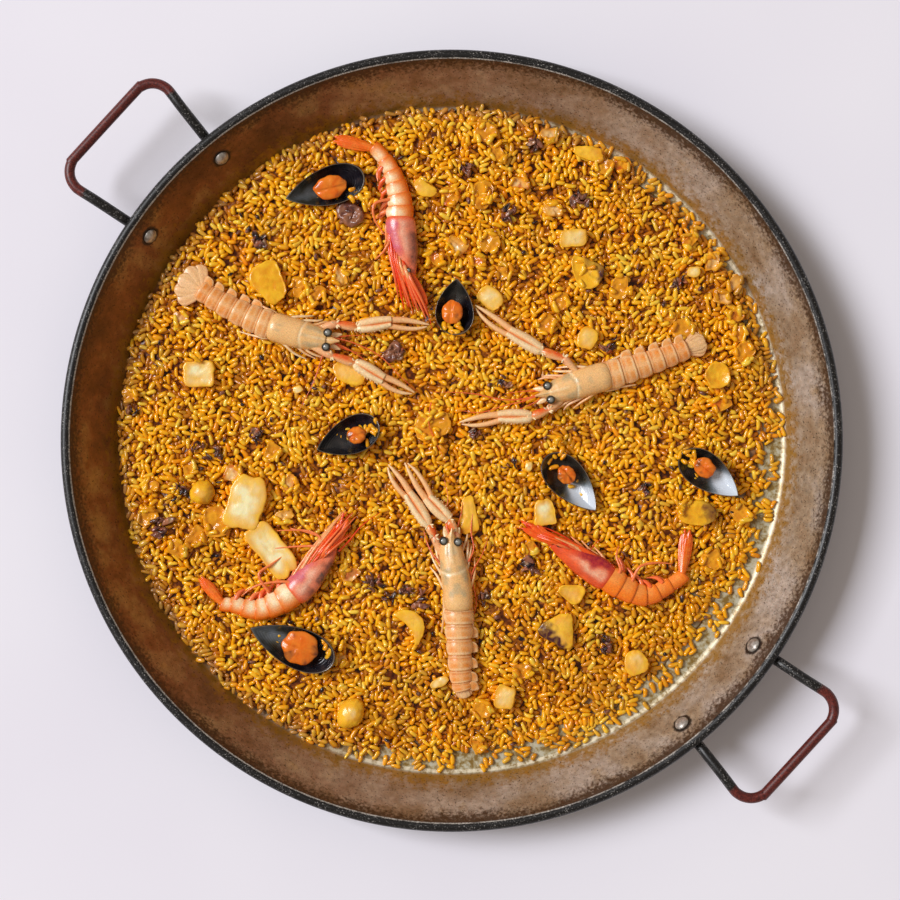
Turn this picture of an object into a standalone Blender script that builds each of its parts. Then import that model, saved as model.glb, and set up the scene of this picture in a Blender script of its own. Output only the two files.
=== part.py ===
"""Seafood paella in its 60 cm steel pan.

Lengths here are millimetres, and each mesh is scaled to metres when it is made.
The pan stands on z = 0 with its centre on the origin and its two handles along X.
The food is laid out as it is seen from above, x to the right and y up, in a frame
that is turned about the centre of the pan to bring the handles on to X.
"""

import math
import random

import bmesh
import bpy
from mathutils import Matrix, Vector, noise
from mathutils.bvhtree import BVHTree

MM = 0.001
GAP = 0.3
FOOD_TURN = math.radians(42.5)

# Pan of sheet steel, with a rolled rim
RIM_RADIUS = 300.0
RIM_HEIGHT = 50.0
BEAD_RADIUS = 4.0
SHEET = 2.0
FLOOR_CORNER = 262.0
CORNER_FILLET = 8.0
PAN_STEPS = 64
BEAD_REACH = (RIM_RADIUS - BEAD_RADIUS - FLOOR_CORNER, RIM_HEIGHT - BEAD_RADIUS - SHEET)
WALL_LEAN = math.atan2(*BEAD_REACH) - math.asin(BEAD_RADIUS / math.hypot(*BEAD_REACH))

# Handles of bent rod, each with two flattened ends that are riveted to the wall
ROD = 8.0
HANDLE_REACH = 360.0
HANDLE_CORNER = 17.0
HANDLE_SPLAY = 0.16
HANDLE_HEIGHT = 47.0
TAB_WIDTH = 15.0
TAB_THICKNESS = 3.0
TAB_GAP = 0.5
RIVET_HEIGHT = 32.0
RIVET_SIDE = 41.0
RIVET_HEAD = 5.75
RIVET_SHANK = 3.0

# Rice, thinner on one side of the pan, with a gentle swell over its whole width
RICE_RINGS = 24
RICE_RING_TURN = 0.37
RICE_TOP = 15.0
RICE_THIN_TOP = 7.5
RICE_EDGE = 262.0
RICE_THIN_EDGE = 251.0
RICE_FOOT = 254.0
RICE_BUMP = 1.3
RICE_SWELL = 1.1
RICE_SWELL_WIDTH = 60.0
THIN_DIRECTION = math.radians(-48)

# Shellfish, and how deep each kind of piece lies in the rice
LANGOUSTINE_GIRTH = 23.0
PRAWN_GIRTH = 22.0
SEAFOOD_SINK = 1.6
MUSSEL_DEPTH = 12.5
MUSSEL_THICKNESS = 1.5
MUSSEL_SINK = 3.6
LUMP_SINK = 2.2


def smooth_step(value, low, high):
    share = min(max((value - low) / (high - low), 0.0), 1.0)
    return share * share * (3 - 2 * share)


def arc(centre, radius, start, end, count):
    """Points of a circular arc in a plane, from one angle to the other."""
    angles = [start + (end - start) * step / (count - 1) for step in range(count)]
    return [(centre[0] + radius * math.cos(a), centre[1] + radius * math.sin(a)) for a in angles]


def through(points, share):
    """Point at a share of the way along a smooth curve through the given points."""
    spans = len(points) - 1
    place = min(max(share, 0.0), 1.0) * spans
    index = min(int(place), spans - 1)
    t = place - index
    before = points[max(index - 1, 0)]
    start, end = points[index], points[index + 1]
    after = points[min(index + 2, spans)]
    return 0.5 * (2 * start + (end - before) * t + (2 * before - 5 * start + 4 * end - after) * t * t
                  + (3 * start - before - 3 * end + after) * t ** 3)


def material(name, colour, roughness, metallic=0.0):
    """A plain finish; the colour is sRGB, 0 to 255."""
    made = bpy.data.materials.new(name)
    made.use_nodes = True
    surface = made.node_tree.nodes["Principled BSDF"]
    linear = [(part / 255) ** 2.2 for part in colour]
    surface.inputs["Base Color"].default_value = (*linear, 1)
    surface.inputs["Roughness"].default_value = roughness
    surface.inputs["Metallic"].default_value = metallic
    made.diffuse_color = (*linear, 1)
    return made


def solid(name, points, faces, finish, parent=None):
    """One closed object from points in millimetres, smooth where the form is round."""
    mesh = bpy.data.meshes.new(name)
    mesh.from_pydata([Vector(point) * MM for point in points], [], faces)
    work = bmesh.new()
    work.from_mesh(mesh)
    bmesh.ops.recalc_face_normals(work, faces=work.faces)
    work.to_mesh(mesh)
    work.free()
    mesh.shade_smooth()
    mesh.set_sharp_from_angle(angle=math.radians(40))
    made = bpy.data.objects.new(name, mesh)
    made.data.materials.append(finish)
    made.parent = parent
    bpy.context.scene.collection.objects.link(made)
    return made


def joined_rings(rings):
    """Points and faces of a body that runs from ring to ring, with a flat cap at each end."""
    count = len(rings[0])
    points = [point for ring in rings for point in ring]
    faces = []
    for row in range(len(rings) - 1):
        for side in range(count):
            after = (side + 1) % count
            near, far = row * count, (row + 1) * count
            faces.append((near + side, near + after, far + after, far + side))
    last = (len(rings) - 1) * count
    faces.append(tuple(reversed(range(count))))
    faces.append(tuple(last + side for side in range(count)))
    return points, faces


def limb(path, sizes, sides=8):
    """Rings of elliptical sections, each with a width across and a height, along a path."""
    rings = []
    for index, centre in enumerate(path):
        ahead = path[min(index + 1, len(path) - 1)] - path[max(index - 1, 0)]
        across = ahead.cross(Vector((0, 0, 1))).normalized()
        upward = across.cross(ahead).normalized()
        width, height = sizes[index]
        ring = []
        for side in range(sides):
            angle = math.tau * (side + 0.5) / sides
            ring.append(centre + across * (width / 2 * math.cos(angle))
                        + upward * (height / 2 * math.sin(angle)))
        rings.append(ring)
    return joined_rings(rings)


def fuse(name, bodies):
    """Join bodies that run into each other into the first one, as one closed body."""
    base = bodies[0]
    others = bpy.data.collections.new(name + "_limbs")
    bpy.context.scene.collection.children.link(others)
    for body in bodies[1:]:
        bpy.context.scene.collection.objects.unlink(body)
        others.objects.link(body)
    union = base.modifiers.new("union", "BOOLEAN")
    union.operation = "UNION"
    union.operand_type = "COLLECTION"
    union.collection = others
    union.solver = "MANIFOLD"
    bpy.context.view_layer.update()
    whole = base.evaluated_get(bpy.context.evaluated_depsgraph_get())
    mesh = bpy.data.meshes.new_from_object(whole)
    base.modifiers.clear()
    base.data = mesh
    for body in list(others.objects):
        bpy.data.objects.remove(body)
    bpy.data.collections.remove(others)
    base.name = name
    return base


def wall_point(height, outward=0.0):
    """Radius and height on the inside of the wall, or so far outward square to it."""
    radius = FLOOR_CORNER + (height - SHEET) * math.tan(WALL_LEAN)
    return radius + outward * math.cos(WALL_LEAN), height - outward * math.sin(WALL_LEAN)


def pan_profile():
    """Outline of the pan's section from under the floor, round the rim, to the floor inside."""
    fillet = (FLOOR_CORNER - CORNER_FILLET * math.tan((math.pi / 2 - WALL_LEAN) / 2),
              SHEET + CORNER_FILLET)
    bead = (RIM_RADIUS - BEAD_RADIUS, RIM_HEIGHT - BEAD_RADIUS)
    tangent = math.pi - WALL_LEAN
    meeting = tangent - math.tau + math.acos((BEAD_RADIUS - SHEET) / BEAD_RADIUS)
    outside = arc(fillet, CORNER_FILLET + SHEET, -math.pi / 2, -WALL_LEAN, 3)
    rim = arc(bead, BEAD_RADIUS, meeting, tangent, 8)
    inside = arc(fillet, CORNER_FILLET, -WALL_LEAN, -math.pi / 2, 3)
    return outside + rim + inside


def make_pan(finish):
    rings = []
    for radius, height in pan_profile():
        angles = [math.tau * step / PAN_STEPS for step in range(PAN_STEPS)]
        rings.append([(radius * math.cos(a), radius * math.sin(a), height) for a in angles])
    return solid("pan", *joined_rings(rings), finish)


def rivet_matrix(side, end):
    """Places a rivet's axis square to the wall; side is 1 or -1, and so is end."""
    radius, height = wall_point(RIVET_HEIGHT)
    turn = side * math.asin(RIVET_SIDE / radius) + (0 if end > 0 else math.pi)
    lean = Matrix.Rotation(math.pi / 2 + WALL_LEAN, 4, "Y")
    place = Matrix.Translation(Vector((radius, 0, height)) * MM)
    return Matrix.Rotation(turn, 4, "Z") @ place @ lean


def make_rivets(finish):
    """Four rivets through wall and tab, and the cutters of their holes."""
    back = SHEET + 2 * TAB_GAP + TAB_THICKNESS + GAP
    profile = [(-3.0, 2.4), (-2.0, 4.5), (-GAP, RIVET_HEAD), (-GAP, RIVET_SHANK),
               (back, RIVET_SHANK), (back, 4.3), (back + 1.6, 3.0)]
    sides = 10
    rings = [[(radius * math.cos(math.tau * side / sides), radius * math.sin(math.tau * side / sides),
               along) for side in range(sides)] for along, radius in profile]
    holes = bpy.data.collections.new("rivet_holes")
    bpy.context.scene.collection.children.link(holes)
    number = 0
    for end in (1, -1):
        for side in (1, -1):
            number += 1
            rivet = solid("rivet_%d" % number, *joined_rings(rings), finish)
            rivet.matrix_world = rivet_matrix(side, end)
            bore = [[(point[0], point[1], along) for point in rings[3]] for along in (-15, 15)]
            cutter = solid("hole_%d" % number, *joined_rings(bore), finish)
            grow = Matrix.Diagonal(Vector((1 + GAP / RIVET_SHANK, 1 + GAP / RIVET_SHANK, 1, 1)))
            cutter.data.transform(grow)
            cutter.matrix_world = rivet_matrix(side, end)
            cutter.hide_render = True
            cutter.display_type = "WIRE"
            bpy.context.scene.collection.objects.unlink(cutter)
            holes.objects.link(cutter)
    return holes


def drill(body, holes):
    cut = body.modifiers.new("rivet holes", "BOOLEAN")
    cut.operation = "DIFFERENCE"
    cut.operand_type = "COLLECTION"
    cut.collection = holes
    cut.solver = "EXACT"


def handle_path():
    """Centre points and section sizes of one half of a handle, from its tab to the outer bar."""
    offset = SHEET + TAB_GAP + TAB_THICKNESS / 2
    bead = (RIM_RADIUS - BEAD_RADIUS, RIM_HEIGHT - BEAD_RADIUS)
    flat = [wall_point(RIVET_HEIGHT - 12, offset), wall_point(RIVET_HEIGHT - 9, offset),
            wall_point(RIVET_HEIGHT + 4, offset)]
    bend = [(bead[0] - 2.5, bead[1] - 9.2), (bead[0] + 5, bead[1] - 7.8),
            (bead[0] + 15, bead[1] - 3.6), (bead[0] + 33, HANDLE_HEIGHT)]
    section = [(TAB_WIDTH * 0.7, TAB_THICKNESS), (TAB_WIDTH, TAB_THICKNESS),
               (TAB_WIDTH, TAB_THICKNESS), (ROD * 1.08, ROD * 0.9)] + [(ROD, ROD)] * 3
    rivet_radius = wall_point(RIVET_HEIGHT)[0]
    path = []
    for radius, height in flat + bend:
        side = RIVET_SIDE + HANDLE_SPLAY * (radius - rivet_radius)
        path.append(Vector((math.sqrt(radius ** 2 - side ** 2), side, height)))
    middle = HANDLE_REACH - HANDLE_CORNER
    splay = math.atan(HANDLE_SPLAY)
    start = middle - HANDLE_CORNER * math.sin(splay)
    side = RIVET_SIDE + HANDLE_SPLAY * (start - path[1].x) - HANDLE_CORNER * math.cos(splay)
    for x, y in arc((middle, side), HANDLE_CORNER, math.pi / 2 + splay, 0, 4):
        path.append(Vector((x, y, HANDLE_HEIGHT)))
        section.append((ROD, ROD))
    return path, section


def make_handle(name, finish, holes, turn):
    path, section = handle_path()
    mirrored = [Vector((point.x, -point.y, point.z)) for point in reversed(path)]
    handle = solid(name, *limb(path + mirrored, section + section[::-1]), finish)
    handle.rotation_euler.z = turn
    drill(handle, holes)
    return handle


def thin_side(angle):
    """1 where the layer of rice thins out towards the wall, 0 on the far side of the pan."""
    return smooth_step(math.cos(angle - THIN_DIRECTION), 0.15, 0.85)


def rice_edge(angle):
    """Radius of the uneven edge of the rice."""
    ragged = noise.noise(Vector((math.cos(angle), math.sin(angle), 0)) * 5.0)
    thin = thin_side(angle)
    return RICE_EDGE + (RICE_THIN_EDGE - RICE_EDGE) * thin + (1.5 + 4.0 * thin) * ragged


def rice_level(x, y):
    """Mean height of the top of the rice."""
    angle = math.atan2(y, x)
    inside = rice_edge(angle) - math.hypot(x, y)
    thin = thin_side(angle) * (1 - smooth_step(inside, 5, 85))
    level = RICE_TOP + (RICE_THIN_TOP - RICE_TOP) * thin
    swell = RICE_SWELL * noise.noise(Vector((x, y, 0)) / RICE_SWELL_WIDTH)
    return (level + swell) - (level - SHEET) * 0.5 * (1 - smooth_step(inside, -1, 9))


def rice_points(rng):
    """Jittered points on rings, six more in each ring than in the one inside it."""
    points = [Vector((0, 0))]
    step = RICE_EDGE / RICE_RINGS
    for ring in range(1, RICE_RINGS + 1):
        for index in range(6 * ring):
            angle = math.tau * index / (6 * ring) + ring * RICE_RING_TURN
            reach = ring / RICE_RINGS * rice_edge(angle)
            point = Vector((reach * math.cos(angle), reach * math.sin(angle)))
            if ring < RICE_RINGS:
                point += Vector((rng.uniform(-1, 1), rng.uniform(-1, 1))) * step * 0.22
            points.append(point)
    return points


def rice_triangles():
    """Faces between neighbouring rings, zipped round by angle."""
    faces = []
    starts = [0] + [1 + 3 * ring * (ring - 1) for ring in range(1, RICE_RINGS + 1)]
    for ring in range(1, RICE_RINGS + 1):
        outer, inner = 6 * ring, max(6 * (ring - 1), 1)
        shift = RICE_RING_TURN * inner / math.tau if ring > 1 else 0
        a, b = 0, math.floor(shift)
        first_b = b
        while a < outer or b < first_b + (inner if ring > 1 else 0):
            outer_next = (a + 1) / outer
            inner_next = (b + 1 - shift) / inner if ring > 1 else 2
            here = starts[ring] + a % outer
            there = starts[ring - 1] + (b % inner if ring > 1 else 0)
            if a < outer and (outer_next <= inner_next or b >= first_b + inner):
                faces.append((there, here, starts[ring] + (a + 1) % outer))
                a += 1
            else:
                faces.append((there, here, starts[ring - 1] + (b + 1) % inner))
                b += 1
    return faces


def sample_shares(parts):
    """Barycentric shares of a triangular lattice of points over a face."""
    return [(i / parts, j / parts, 1 - (i + j) / parts)
            for i in range(parts + 1) for j in range(parts + 1 - i)]


def nestle(points, faces, toppings):
    """Lower the rice wherever it would run into the underside of a topping."""
    verts, polys = [], []
    for topping in toppings:
        first = len(verts)
        verts += [vert.co / MM for vert in topping.data.vertices]
        polys += [[first + index for index in face.vertices] for face in topping.data.polygons]
    tree = BVHTree.FromPolygons(verts, polys)
    shares = sample_shares(8)
    for face in faces:
        corners = [points[index] for index in face]
        ceiling = max(corner.z for corner in corners)
        for share in shares:
            place = sum((corner * part for corner, part in zip(corners, share)), Vector())
            hit = tree.ray_cast(Vector((place.x, place.y, -1)), Vector((0, 0, 1)))[0]
            if hit and hit.z - 1.5 * GAP < place.z:
                ceiling = min(ceiling, hit.z - 1.5 * GAP)
        for corner in corners:
            corner.z = min(corner.z, ceiling)


def make_rice(finish, parent, toppings):
    rng = random.Random(4)
    flat = rice_points(rng)
    faces = rice_triangles()
    points = []
    for point in flat:
        bump = RICE_BUMP * rng.uniform(-1, 1)
        points.append(Vector((point.x, point.y, rice_level(point.x, point.y) + bump)))
    nestle(points, faces, toppings)
    rim = 6 * RICE_RINGS
    first = len(points) - rim
    foot = len(points)
    for index in range(rim):
        top = points[first + index]
        inward = min(1.0, RICE_FOOT / math.hypot(top.x, top.y))
        points.append(Vector((top.x * inward, top.y * inward, SHEET + GAP)))
        after = (index + 1) % rim
        faces.append((first + index, foot + index, foot + after, first + after))
    faces.append(tuple(foot + index for index in range(rim)))
    return solid("rice", points, faces, finish, parent)


def langoustine_arm(name, joints, lift, hand, finish, parent):
    """Arm with its claw: shoulder, elbow, wrist, end of the palm and tip of the fixed finger."""
    spots = [Vector((x, y, 0)) for x, y in joints]
    resting = rice_level(*joints[3]) + lift
    heights = [resting + 4.5, resting + 5.5, resting + 4.5, resting + 4.2, resting + 2.6]
    for spot, height in zip(spots, heights):
        spot.z = height
    shoulder, elbow, wrist, palm, tip = spots
    path = [shoulder, shoulder.lerp(elbow, 0.7), elbow, elbow.lerp(wrist, 0.5), wrist,
            wrist.lerp(palm, 0.25), wrist.lerp(palm, 0.7), palm, palm.lerp(tip, 0.5), tip]
    sizes = [(4.5, 4.5), (6.5, 6), (4.6, 4.6), (7, 6.5), (4.8, 4.8),
             (9.5, 7.5), (11.5, 8), (10, 7), (5, 4.2), (1.6, 1.6)]
    aside = (tip - palm).cross(Vector((0, 0, 1))).normalized() * hand
    root = palm.lerp(wrist, 0.12) + aside * 2.8
    finger = [root, palm.lerp(tip, 0.3) + aside * 4.6, palm.lerp(tip, 0.65) + aside * 4.2,
              palm.lerp(tip, 0.94) + aside * 1.8]
    outer = [point - aside * 2.0 * share for point, share in zip(path[7:], (0.4, 1.0, 0.2))]
    path[7:] = outer
    return [solid(name, *limb(path, sizes, 5), finish, parent),
            solid(name, *limb(finger, [(3.6, 4), (4, 4), (3, 3.2), (1.4, 1.4)], 4), finish, parent)]


def tail_fan(name, root, direction, spread, length, width, finish, parent):
    """Flat blades that spread from the end of the tail."""
    blades = []
    for share in (-1, 0, 1):
        turned = Matrix.Rotation(math.radians(spread) * share, 3, "Z") @ direction
        drop = Vector((0, 0, -0.6 * abs(share)))
        reach = length * (1 - 0.08 * abs(share))
        path = [root + drop, root + turned * reach * 0.5 + drop, root + turned * reach * 0.88 + drop,
                root + turned * reach + drop]
        sizes = [(width * 0.45, 2.6), (width * 0.9, 2.2), (width, 2.0), (width * 0.6, 1.6)]
        blades.append(solid(name, *limb(path, sizes, 4), finish, parent))
    return blades


def tapered_body(name, spine, stations, finish, parent, sides=8):
    """Body along a spine; a station is a share of its length, width, height and underside."""
    path, sizes = [], []
    for share, width, height, underside in stations:
        centre = through(spine, share)
        centre.z = rice_level(centre.x, centre.y) - SEAFOOD_SINK + underside + height / 2
        path.append(centre)
        sizes.append((width, height))
    return solid(name, *limb(path, sizes, sides), finish, parent)


def segments(start, end, count, widths, heights):
    """Stations of overlapping rings, each as wide at its front as the last, then stepping in."""
    made = []
    for index in range(count):
        share = index / (count - 1)
        width = widths[0] + (widths[1] - widths[0]) * share
        height = heights[0] + (heights[1] - heights[0]) * share
        here = start + (end - start) * index / count
        length = (end - start) / count
        made.append((here + length * 0.15, width, height, 0.0))
        made.append((here + length * 0.92, width * 0.94, height * 0.93, 0.0))
    return made


def make_langoustine(name, spine, arms, spread, finish, parent):
    """Langoustine lying on its belly: spine from the tip of the rostrum to the tail's end."""
    spine = [Vector((x, y, 0)) for x, y in spine]
    wide = LANGOUSTINE_GIRTH
    stations = [(0.0, 1.8, 1.8, 13.5), (0.07, 4, 3.5, 11.5), (0.12, 12, 9, 6.0),
                (0.20, 0.80 * wide, 14, 2.0), (0.32, 0.98 * wide, 17, 0.4),
                (0.44, wide, 17, 0.2), (0.465, 0.88 * wide, 14.5, 0.4)]
    stations += segments(0.47, 0.88, 6, (0.93 * wide, 0.68 * wide), (14.5, 9.5))
    stations.append((0.89, 0.5 * wide, 6, 0.6))
    bodies = [tapered_body(name, spine, stations, finish, parent)]
    root = through(spine, 0.875)
    direction = (spine[-1] - root).normalized()
    root.z = rice_level(root.x, root.y) + 2.2
    length = (spine[-1] - root).length
    bodies += tail_fan(name, root, direction, spread, length, 9.5, finish, parent)
    for joints, lift, hand in arms:
        bodies += langoustine_arm(name, joints, lift, hand, finish, parent)
    face = through(spine, 0.14)
    ahead = (through(spine, 0.1) - face).normalized()
    across = Vector((-ahead.y, ahead.x, 0))
    for side in (1, -1):
        eye = face + across * 5.6 * side
        eye.z = rice_level(face.x, face.y) + 12.4
        bodies.append(solid(name, *ball(eye, 2.9), finish, parent))
    return fuse(name, bodies)


def ball(centre, radius, sides=5):
    """Small ball of a few flat rings."""
    rings = []
    for along, share in ((-0.8, 0.5), (0.0, 1.0), (0.8, 0.5)):
        rings.append([centre + radius * Vector((share * math.cos(math.tau * side / sides),
                                                share * math.sin(math.tau * side / sides), along))
                      for side in range(sides)])
    return joined_rings(rings)


def make_prawn(name, spine, spread, finish, parent):
    """Prawn lying on its side: spine from the tip of the rostrum round to the tail's end."""
    spine = [Vector((x, y, 0)) for x, y in spine]
    deep = PRAWN_GIRTH
    stations = [(0.0, 1.8, 1.8, 9.0), (0.09, 5, 4, 5.5), (0.17, 0.62 * deep, 9.5, 1.5),
                (0.27, 0.98 * deep, 13.5, 0.2), (0.36, 1.08 * deep, 14.5, 0.0),
                (0.405, 0.9 * deep, 13, 0.3)]
    stations += segments(0.41, 0.84, 6, (0.9 * deep, 0.5 * deep), (13.5, 7.5))
    stations.append((0.86, 0.4 * deep, 5, 0.4))
    bodies = [tapered_body(name, spine, stations, finish, parent)]
    root = through(spine, 0.845)
    direction = (spine[-1] - root).normalized()
    root.z = rice_level(root.x, root.y) + 2.4
    length = (spine[-1] - root).length
    bodies += tail_fan(name, root, direction, spread, length, 6.5, finish, parent)
    return fuse(name, bodies)


def shell_ring(length, width, scale, height, sides=12):
    """Ring of a mussel's outline, pointed at the hinge and round at the other end."""
    ring = []
    for side in range(sides):
        angle = math.tau * side / sides
        along = length / 2 * (1 - math.cos(angle))
        across = 1.28 * width / 2 * math.sin(angle) * abs(math.sin(angle / 2)) ** 1.1
        bulge = 0.1 * width * math.sin(angle / 2) ** 2
        along = 0.55 * length + (along - 0.55 * length) * scale
        ring.append(Vector((along, (across + bulge) * scale, height)))
    return ring


def make_mussel(number, hinge, end, width, tilt, meat, shell_finish, meat_finish, parent):
    """Half shell with its inside up, and the meat that lies in it."""
    hinge, end = Vector((*hinge, 0)), Vector((*end, 0))
    length = (end - hinge).length
    heading = math.atan2(end.y - hinge.y, end.x - hinge.x)
    middle = hinge.lerp(end, 0.55)
    rim = rice_level(middle.x, middle.y) - MUSSEL_SINK + MUSSEL_DEPTH
    place = (Matrix.Translation(Vector((hinge.x, hinge.y, rim)))
             @ Matrix.Rotation(heading, 4, "Z") @ Matrix.Rotation(math.radians(tilt), 4, "X"))
    low, middle_low = -0.93 * MUSSEL_DEPTH, -0.5 * MUSSEL_DEPTH
    outer = [(0.3, low), (0.72, middle_low), (1.0, 0.0)]
    inner = [(0.955, 0.0), (0.67, middle_low + MUSSEL_THICKNESS), (0.28, low + MUSSEL_THICKNESS)]
    rings = [shell_ring(length, width, scale, height) for scale, height in outer + inner]
    shell_points, shell_faces = joined_rings([[place @ point for point in ring] for ring in rings])
    solid("mussel_shell_%d" % number, shell_points, shell_faces, shell_finish, parent)
    along, across, meat_length, meat_width = meat
    floor = low + MUSSEL_THICKNESS + 3 * GAP
    meat_rings = []
    for scale, height in ((0.28, floor), (0.6, -5.0), (0.92, -0.6), (0.92, 1.4), (0.5, 3.2)):
        ring = []
        for side in range(8):
            angle = math.tau * side / 8
            lump = 1 + 0.12 * noise.noise(Vector((math.cos(angle), math.sin(angle), number * 3.0)) * 2)
            ring.append(place @ Vector((along * length + meat_length / 2 * scale * lump * math.cos(angle),
                                        across + meat_width / 2 * scale * lump * math.sin(angle),
                                        height)))
        meat_rings.append(ring)
    solid("mussel_meat_%d" % number, *joined_rings(meat_rings), meat_finish, parent)


def make_lump(name, centre, length, width, height, heading, finish, parent,
              square=2.6, taper=0.0, bend=0.0, top=0.72):
    """Cut piece: an uneven rounded outline with eased edges, sunk a little in the rice."""
    x, y = centre
    seed = sum(ord(letter) * (place + 3) for place, letter in enumerate(name))
    base = rice_level(x, y) - LUMP_SINK
    turn = math.radians(heading)
    rings = []
    for level, scale in ((0.0, 0.8), (0.55, 1.0), (1.0, top)):
        ring = []
        for side in range(8):
            angle = math.tau * side / 8
            cosine, sine = math.cos(angle), math.sin(angle)
            reach = (abs(cosine) ** square + abs(sine) ** square) ** (-1 / square)
            uneven = 1 + 0.14 * noise.noise(Vector((cosine * 1.3, sine * 1.3, seed * 0.13)))
            u = cosine * reach * scale * uneven
            v = sine * reach * scale * uneven * (1 + taper * u)
            px = length / 2 * u
            py = width / 2 * v + bend * (u * u - 0.4)
            ring.append((x + px * math.cos(turn) - py * math.sin(turn),
                         y + px * math.sin(turn) + py * math.cos(turn),
                         base + height * level))
        rings.append(ring)
    return solid(name, *joined_rings(rings), finish, parent)


LANGOUSTINES = {
    "langoustine_1": {
        "spine": [(0.3, -67.6), (-0.6, -85), (4.6, -118), (5.6, -152), (7.5, -186), (11.5, -201)],
        "arms": [([(-6, -93), (-13.5, -75), (-18, -66), (-34.5, -41), (-49.5, -18.5)], 0.4, -1),
                 ([(5, -88), (3.2, -72), (-2.2, -61.5), (-19, -44), (-36.6, -17)], 1.5, 1)],
        "spread": 20},
    "langoustine_2": {
        "spine": [(-87, 77.2), (-103, 79.3), (-130, 86.2), (-158, 96.4), (-187, 112), (-205.5, 125)],
        "arms": [([(-111, 85), (-90, 91), (-74, 88.5), (-47, 92.5), (-17.5, 90.5)], 0.6, 1),
                 ([(-116, 77), (-93, 66), (-75.5, 60.5), (-53, 47.5), (-29, 37.5)], 4.2, 1)],
        "spread": 34},
    "langoustine_3": {
        "spine": [(64.5, 34.6), (82, 39), (110, 47.6), (141, 56.6), (172, 67.4), (195.5, 77)],
        "arms": [([(97, 54), (87, 64), (70.5, 69.5), (44, 85), (18, 105.5)], 4.0, -1),
                 ([(88, 33), (75, 24), (62.5, 19), (36, 18.6), (6, 14.3)], 0.4, -1)],
        "spread": 12},
}

PRAWNS = {
    "prawn_1": {
        "spine": [(-23, 110), (-31.5, 129), (-36, 147), (-40, 169), (-40, 185), (-43.5, 201),
                  (-50, 216), (-64.5, 231.5), (-92, 236.5)],
        "spread": 8},
    "prawn_2": {
        "spine": [(-84, -56), (-93, -84), (-105, -99), (-119, -115), (-136, -127), (-152, -132),
                  (-169, -128.5), (-182, -126), (-197, -107)],
        "spread": 7},
    "prawn_3": {
        "spine": [(57, -65.5), (78, -79), (97, -91), (117, -104), (134, -115), (151, -121),
                  (167, -115), (184, -101), (185.5, -69)],
        "spread": 8},
}

# Hinge, round end, width, tilt about the length, and the meat's place and size
MUSSELS = [
    ((-129, 188), (-67, 203), 31, 9, (0.52, 0.5, 26, 18)),
    ((4, 126), (-2, 82.5), 31, 6, (0.6, 0, 19, 17)),
    ((-105, -7), (-55.5, 10), 31, -14, (0.63, 0.5, 15, 14.5)),
    ((112, -54.5), (76, -9.5), 32, 14, (0.63, 0.5, 16, 15)),
    ((223, -43), (180.5, -7.5), 30, -12, (0.62, 0, 18, 16)),
    ((-156.5, -145.5), (-93, -176), 34, 8, (0.6, 1, 30, 20)),
]

# Centre, length, width, height, heading in degrees, and the outline's form
SQUID = [
    ((-142.4, 123), 33, 24, 8, 118, {"square": 3.0, "taper": 0.15}),
    ((-197, 52), 24, 20, 8, 0, {"square": 4.0}),
    ((-160, -47), 42, 29, 9, 72, {"square": 2.4, "taper": -0.2}),
    ((-141, -84), 47, 22, 9, 128, {"square": 2.8, "bend": 4.0}),
    ((-80, 54), 27, 19, 5.4, -20, {"square": 2.4}),
    ((30.5, 111.5), 20, 15, 5.4, -40, {"square": 2.4}),
    ((94.5, 158), 21, 14, 8, 0, {"square": 3.0}),
    ((104, 133), 30, 20, 7, -40, {"square": 2.2, "taper": 0.5, "bend": 3.0}),
    ((207.8, 51), 21, 20, 6.5, 0, {"square": 2.0, "top": 0.85}),
    ((72.5, -56), 21, 17, 7, 96, {"square": 2.8, "taper": -0.25}),
    ((13.5, -57), 30, 13, 5.0, 94, {"square": 2.6, "taper": -0.3}),
    ((-32, -143), 32, 13, 8.5, -52, {"square": 2.2, "bend": -9.0}),
    ((84.5, -146), 27, 24, 8, 60, {"square": 2.3, "taper": 0.3}),
    ((92.5, -118.5), 20, 14, 8, -20, {"square": 2.2, "taper": 0.5}),
    ((144, -173), 21, 19, 9, -70, {"square": 2.5, "taper": 0.25}),
    ((41.5, -200.5), 19, 16, 9, 80, {"square": 3.0}),
    ((-79, -213), 25, 20, 12, 50, {"square": 2.0}),
    ((-194.8, -40.5), 20, 19, 11, 0, {"square": 2.0}),
    ((192, -57), 29, 19, 8, 0, {"square": 2.4}),
    ((106, 80), 18, 16, 8, 60, {"square": 2.2}),
    ((-21, 197), 20, 11, 7, -35, {"square": 2.2, "bend": 3.0}),
    ((106.5, 225), 25, 11, 6, -14, {"square": 2.4}),
]

# Cooked onion and pepper in the stock, and the dark ends of tentacles
ONION = [
    ((24, 192), 23, 15, 6.5, 82, {"square": 3.2}),
    ((-14, 12), 29, 22, 6.5, 20, {"square": 2.4}),
    ((26.5, 241), 16, 15, 6.5, -30, {"square": 3.6}),
    ((29.5, 155), 17, 15, 6.5, 15, {"square": 3.0}),
    ((228.5, 69), 16, 15, 6, 40, {"square": 3.2}),
    ((226, -57), 17, 13, 6, -55, {"square": 3.0}),
    ((203.5, -94), 18, 16, 6, 25, {"square": 3.4}),
    ((24, -210), 15, 14, 6, -15, {"square": 3.2}),
    ((74, 91), 15, 14, 6.5, 35, {"square": 2.8}),
]
TENTACLES = [
    ((-79, 177), 24, 18, 7, -30, {"square": 2.0}),
    ((-45.5, 69.5), 19, 11, 6.5, 60, {"square": 2.2}),
]


def clear_scene():
    for leftover in list(bpy.data.objects):
        bpy.data.objects.remove(leftover)


def turned_empty(name, turn):
    empty = bpy.data.objects.new(name, None)
    empty.rotation_euler.z = turn
    bpy.context.scene.collection.objects.link(empty)
    return empty


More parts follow.
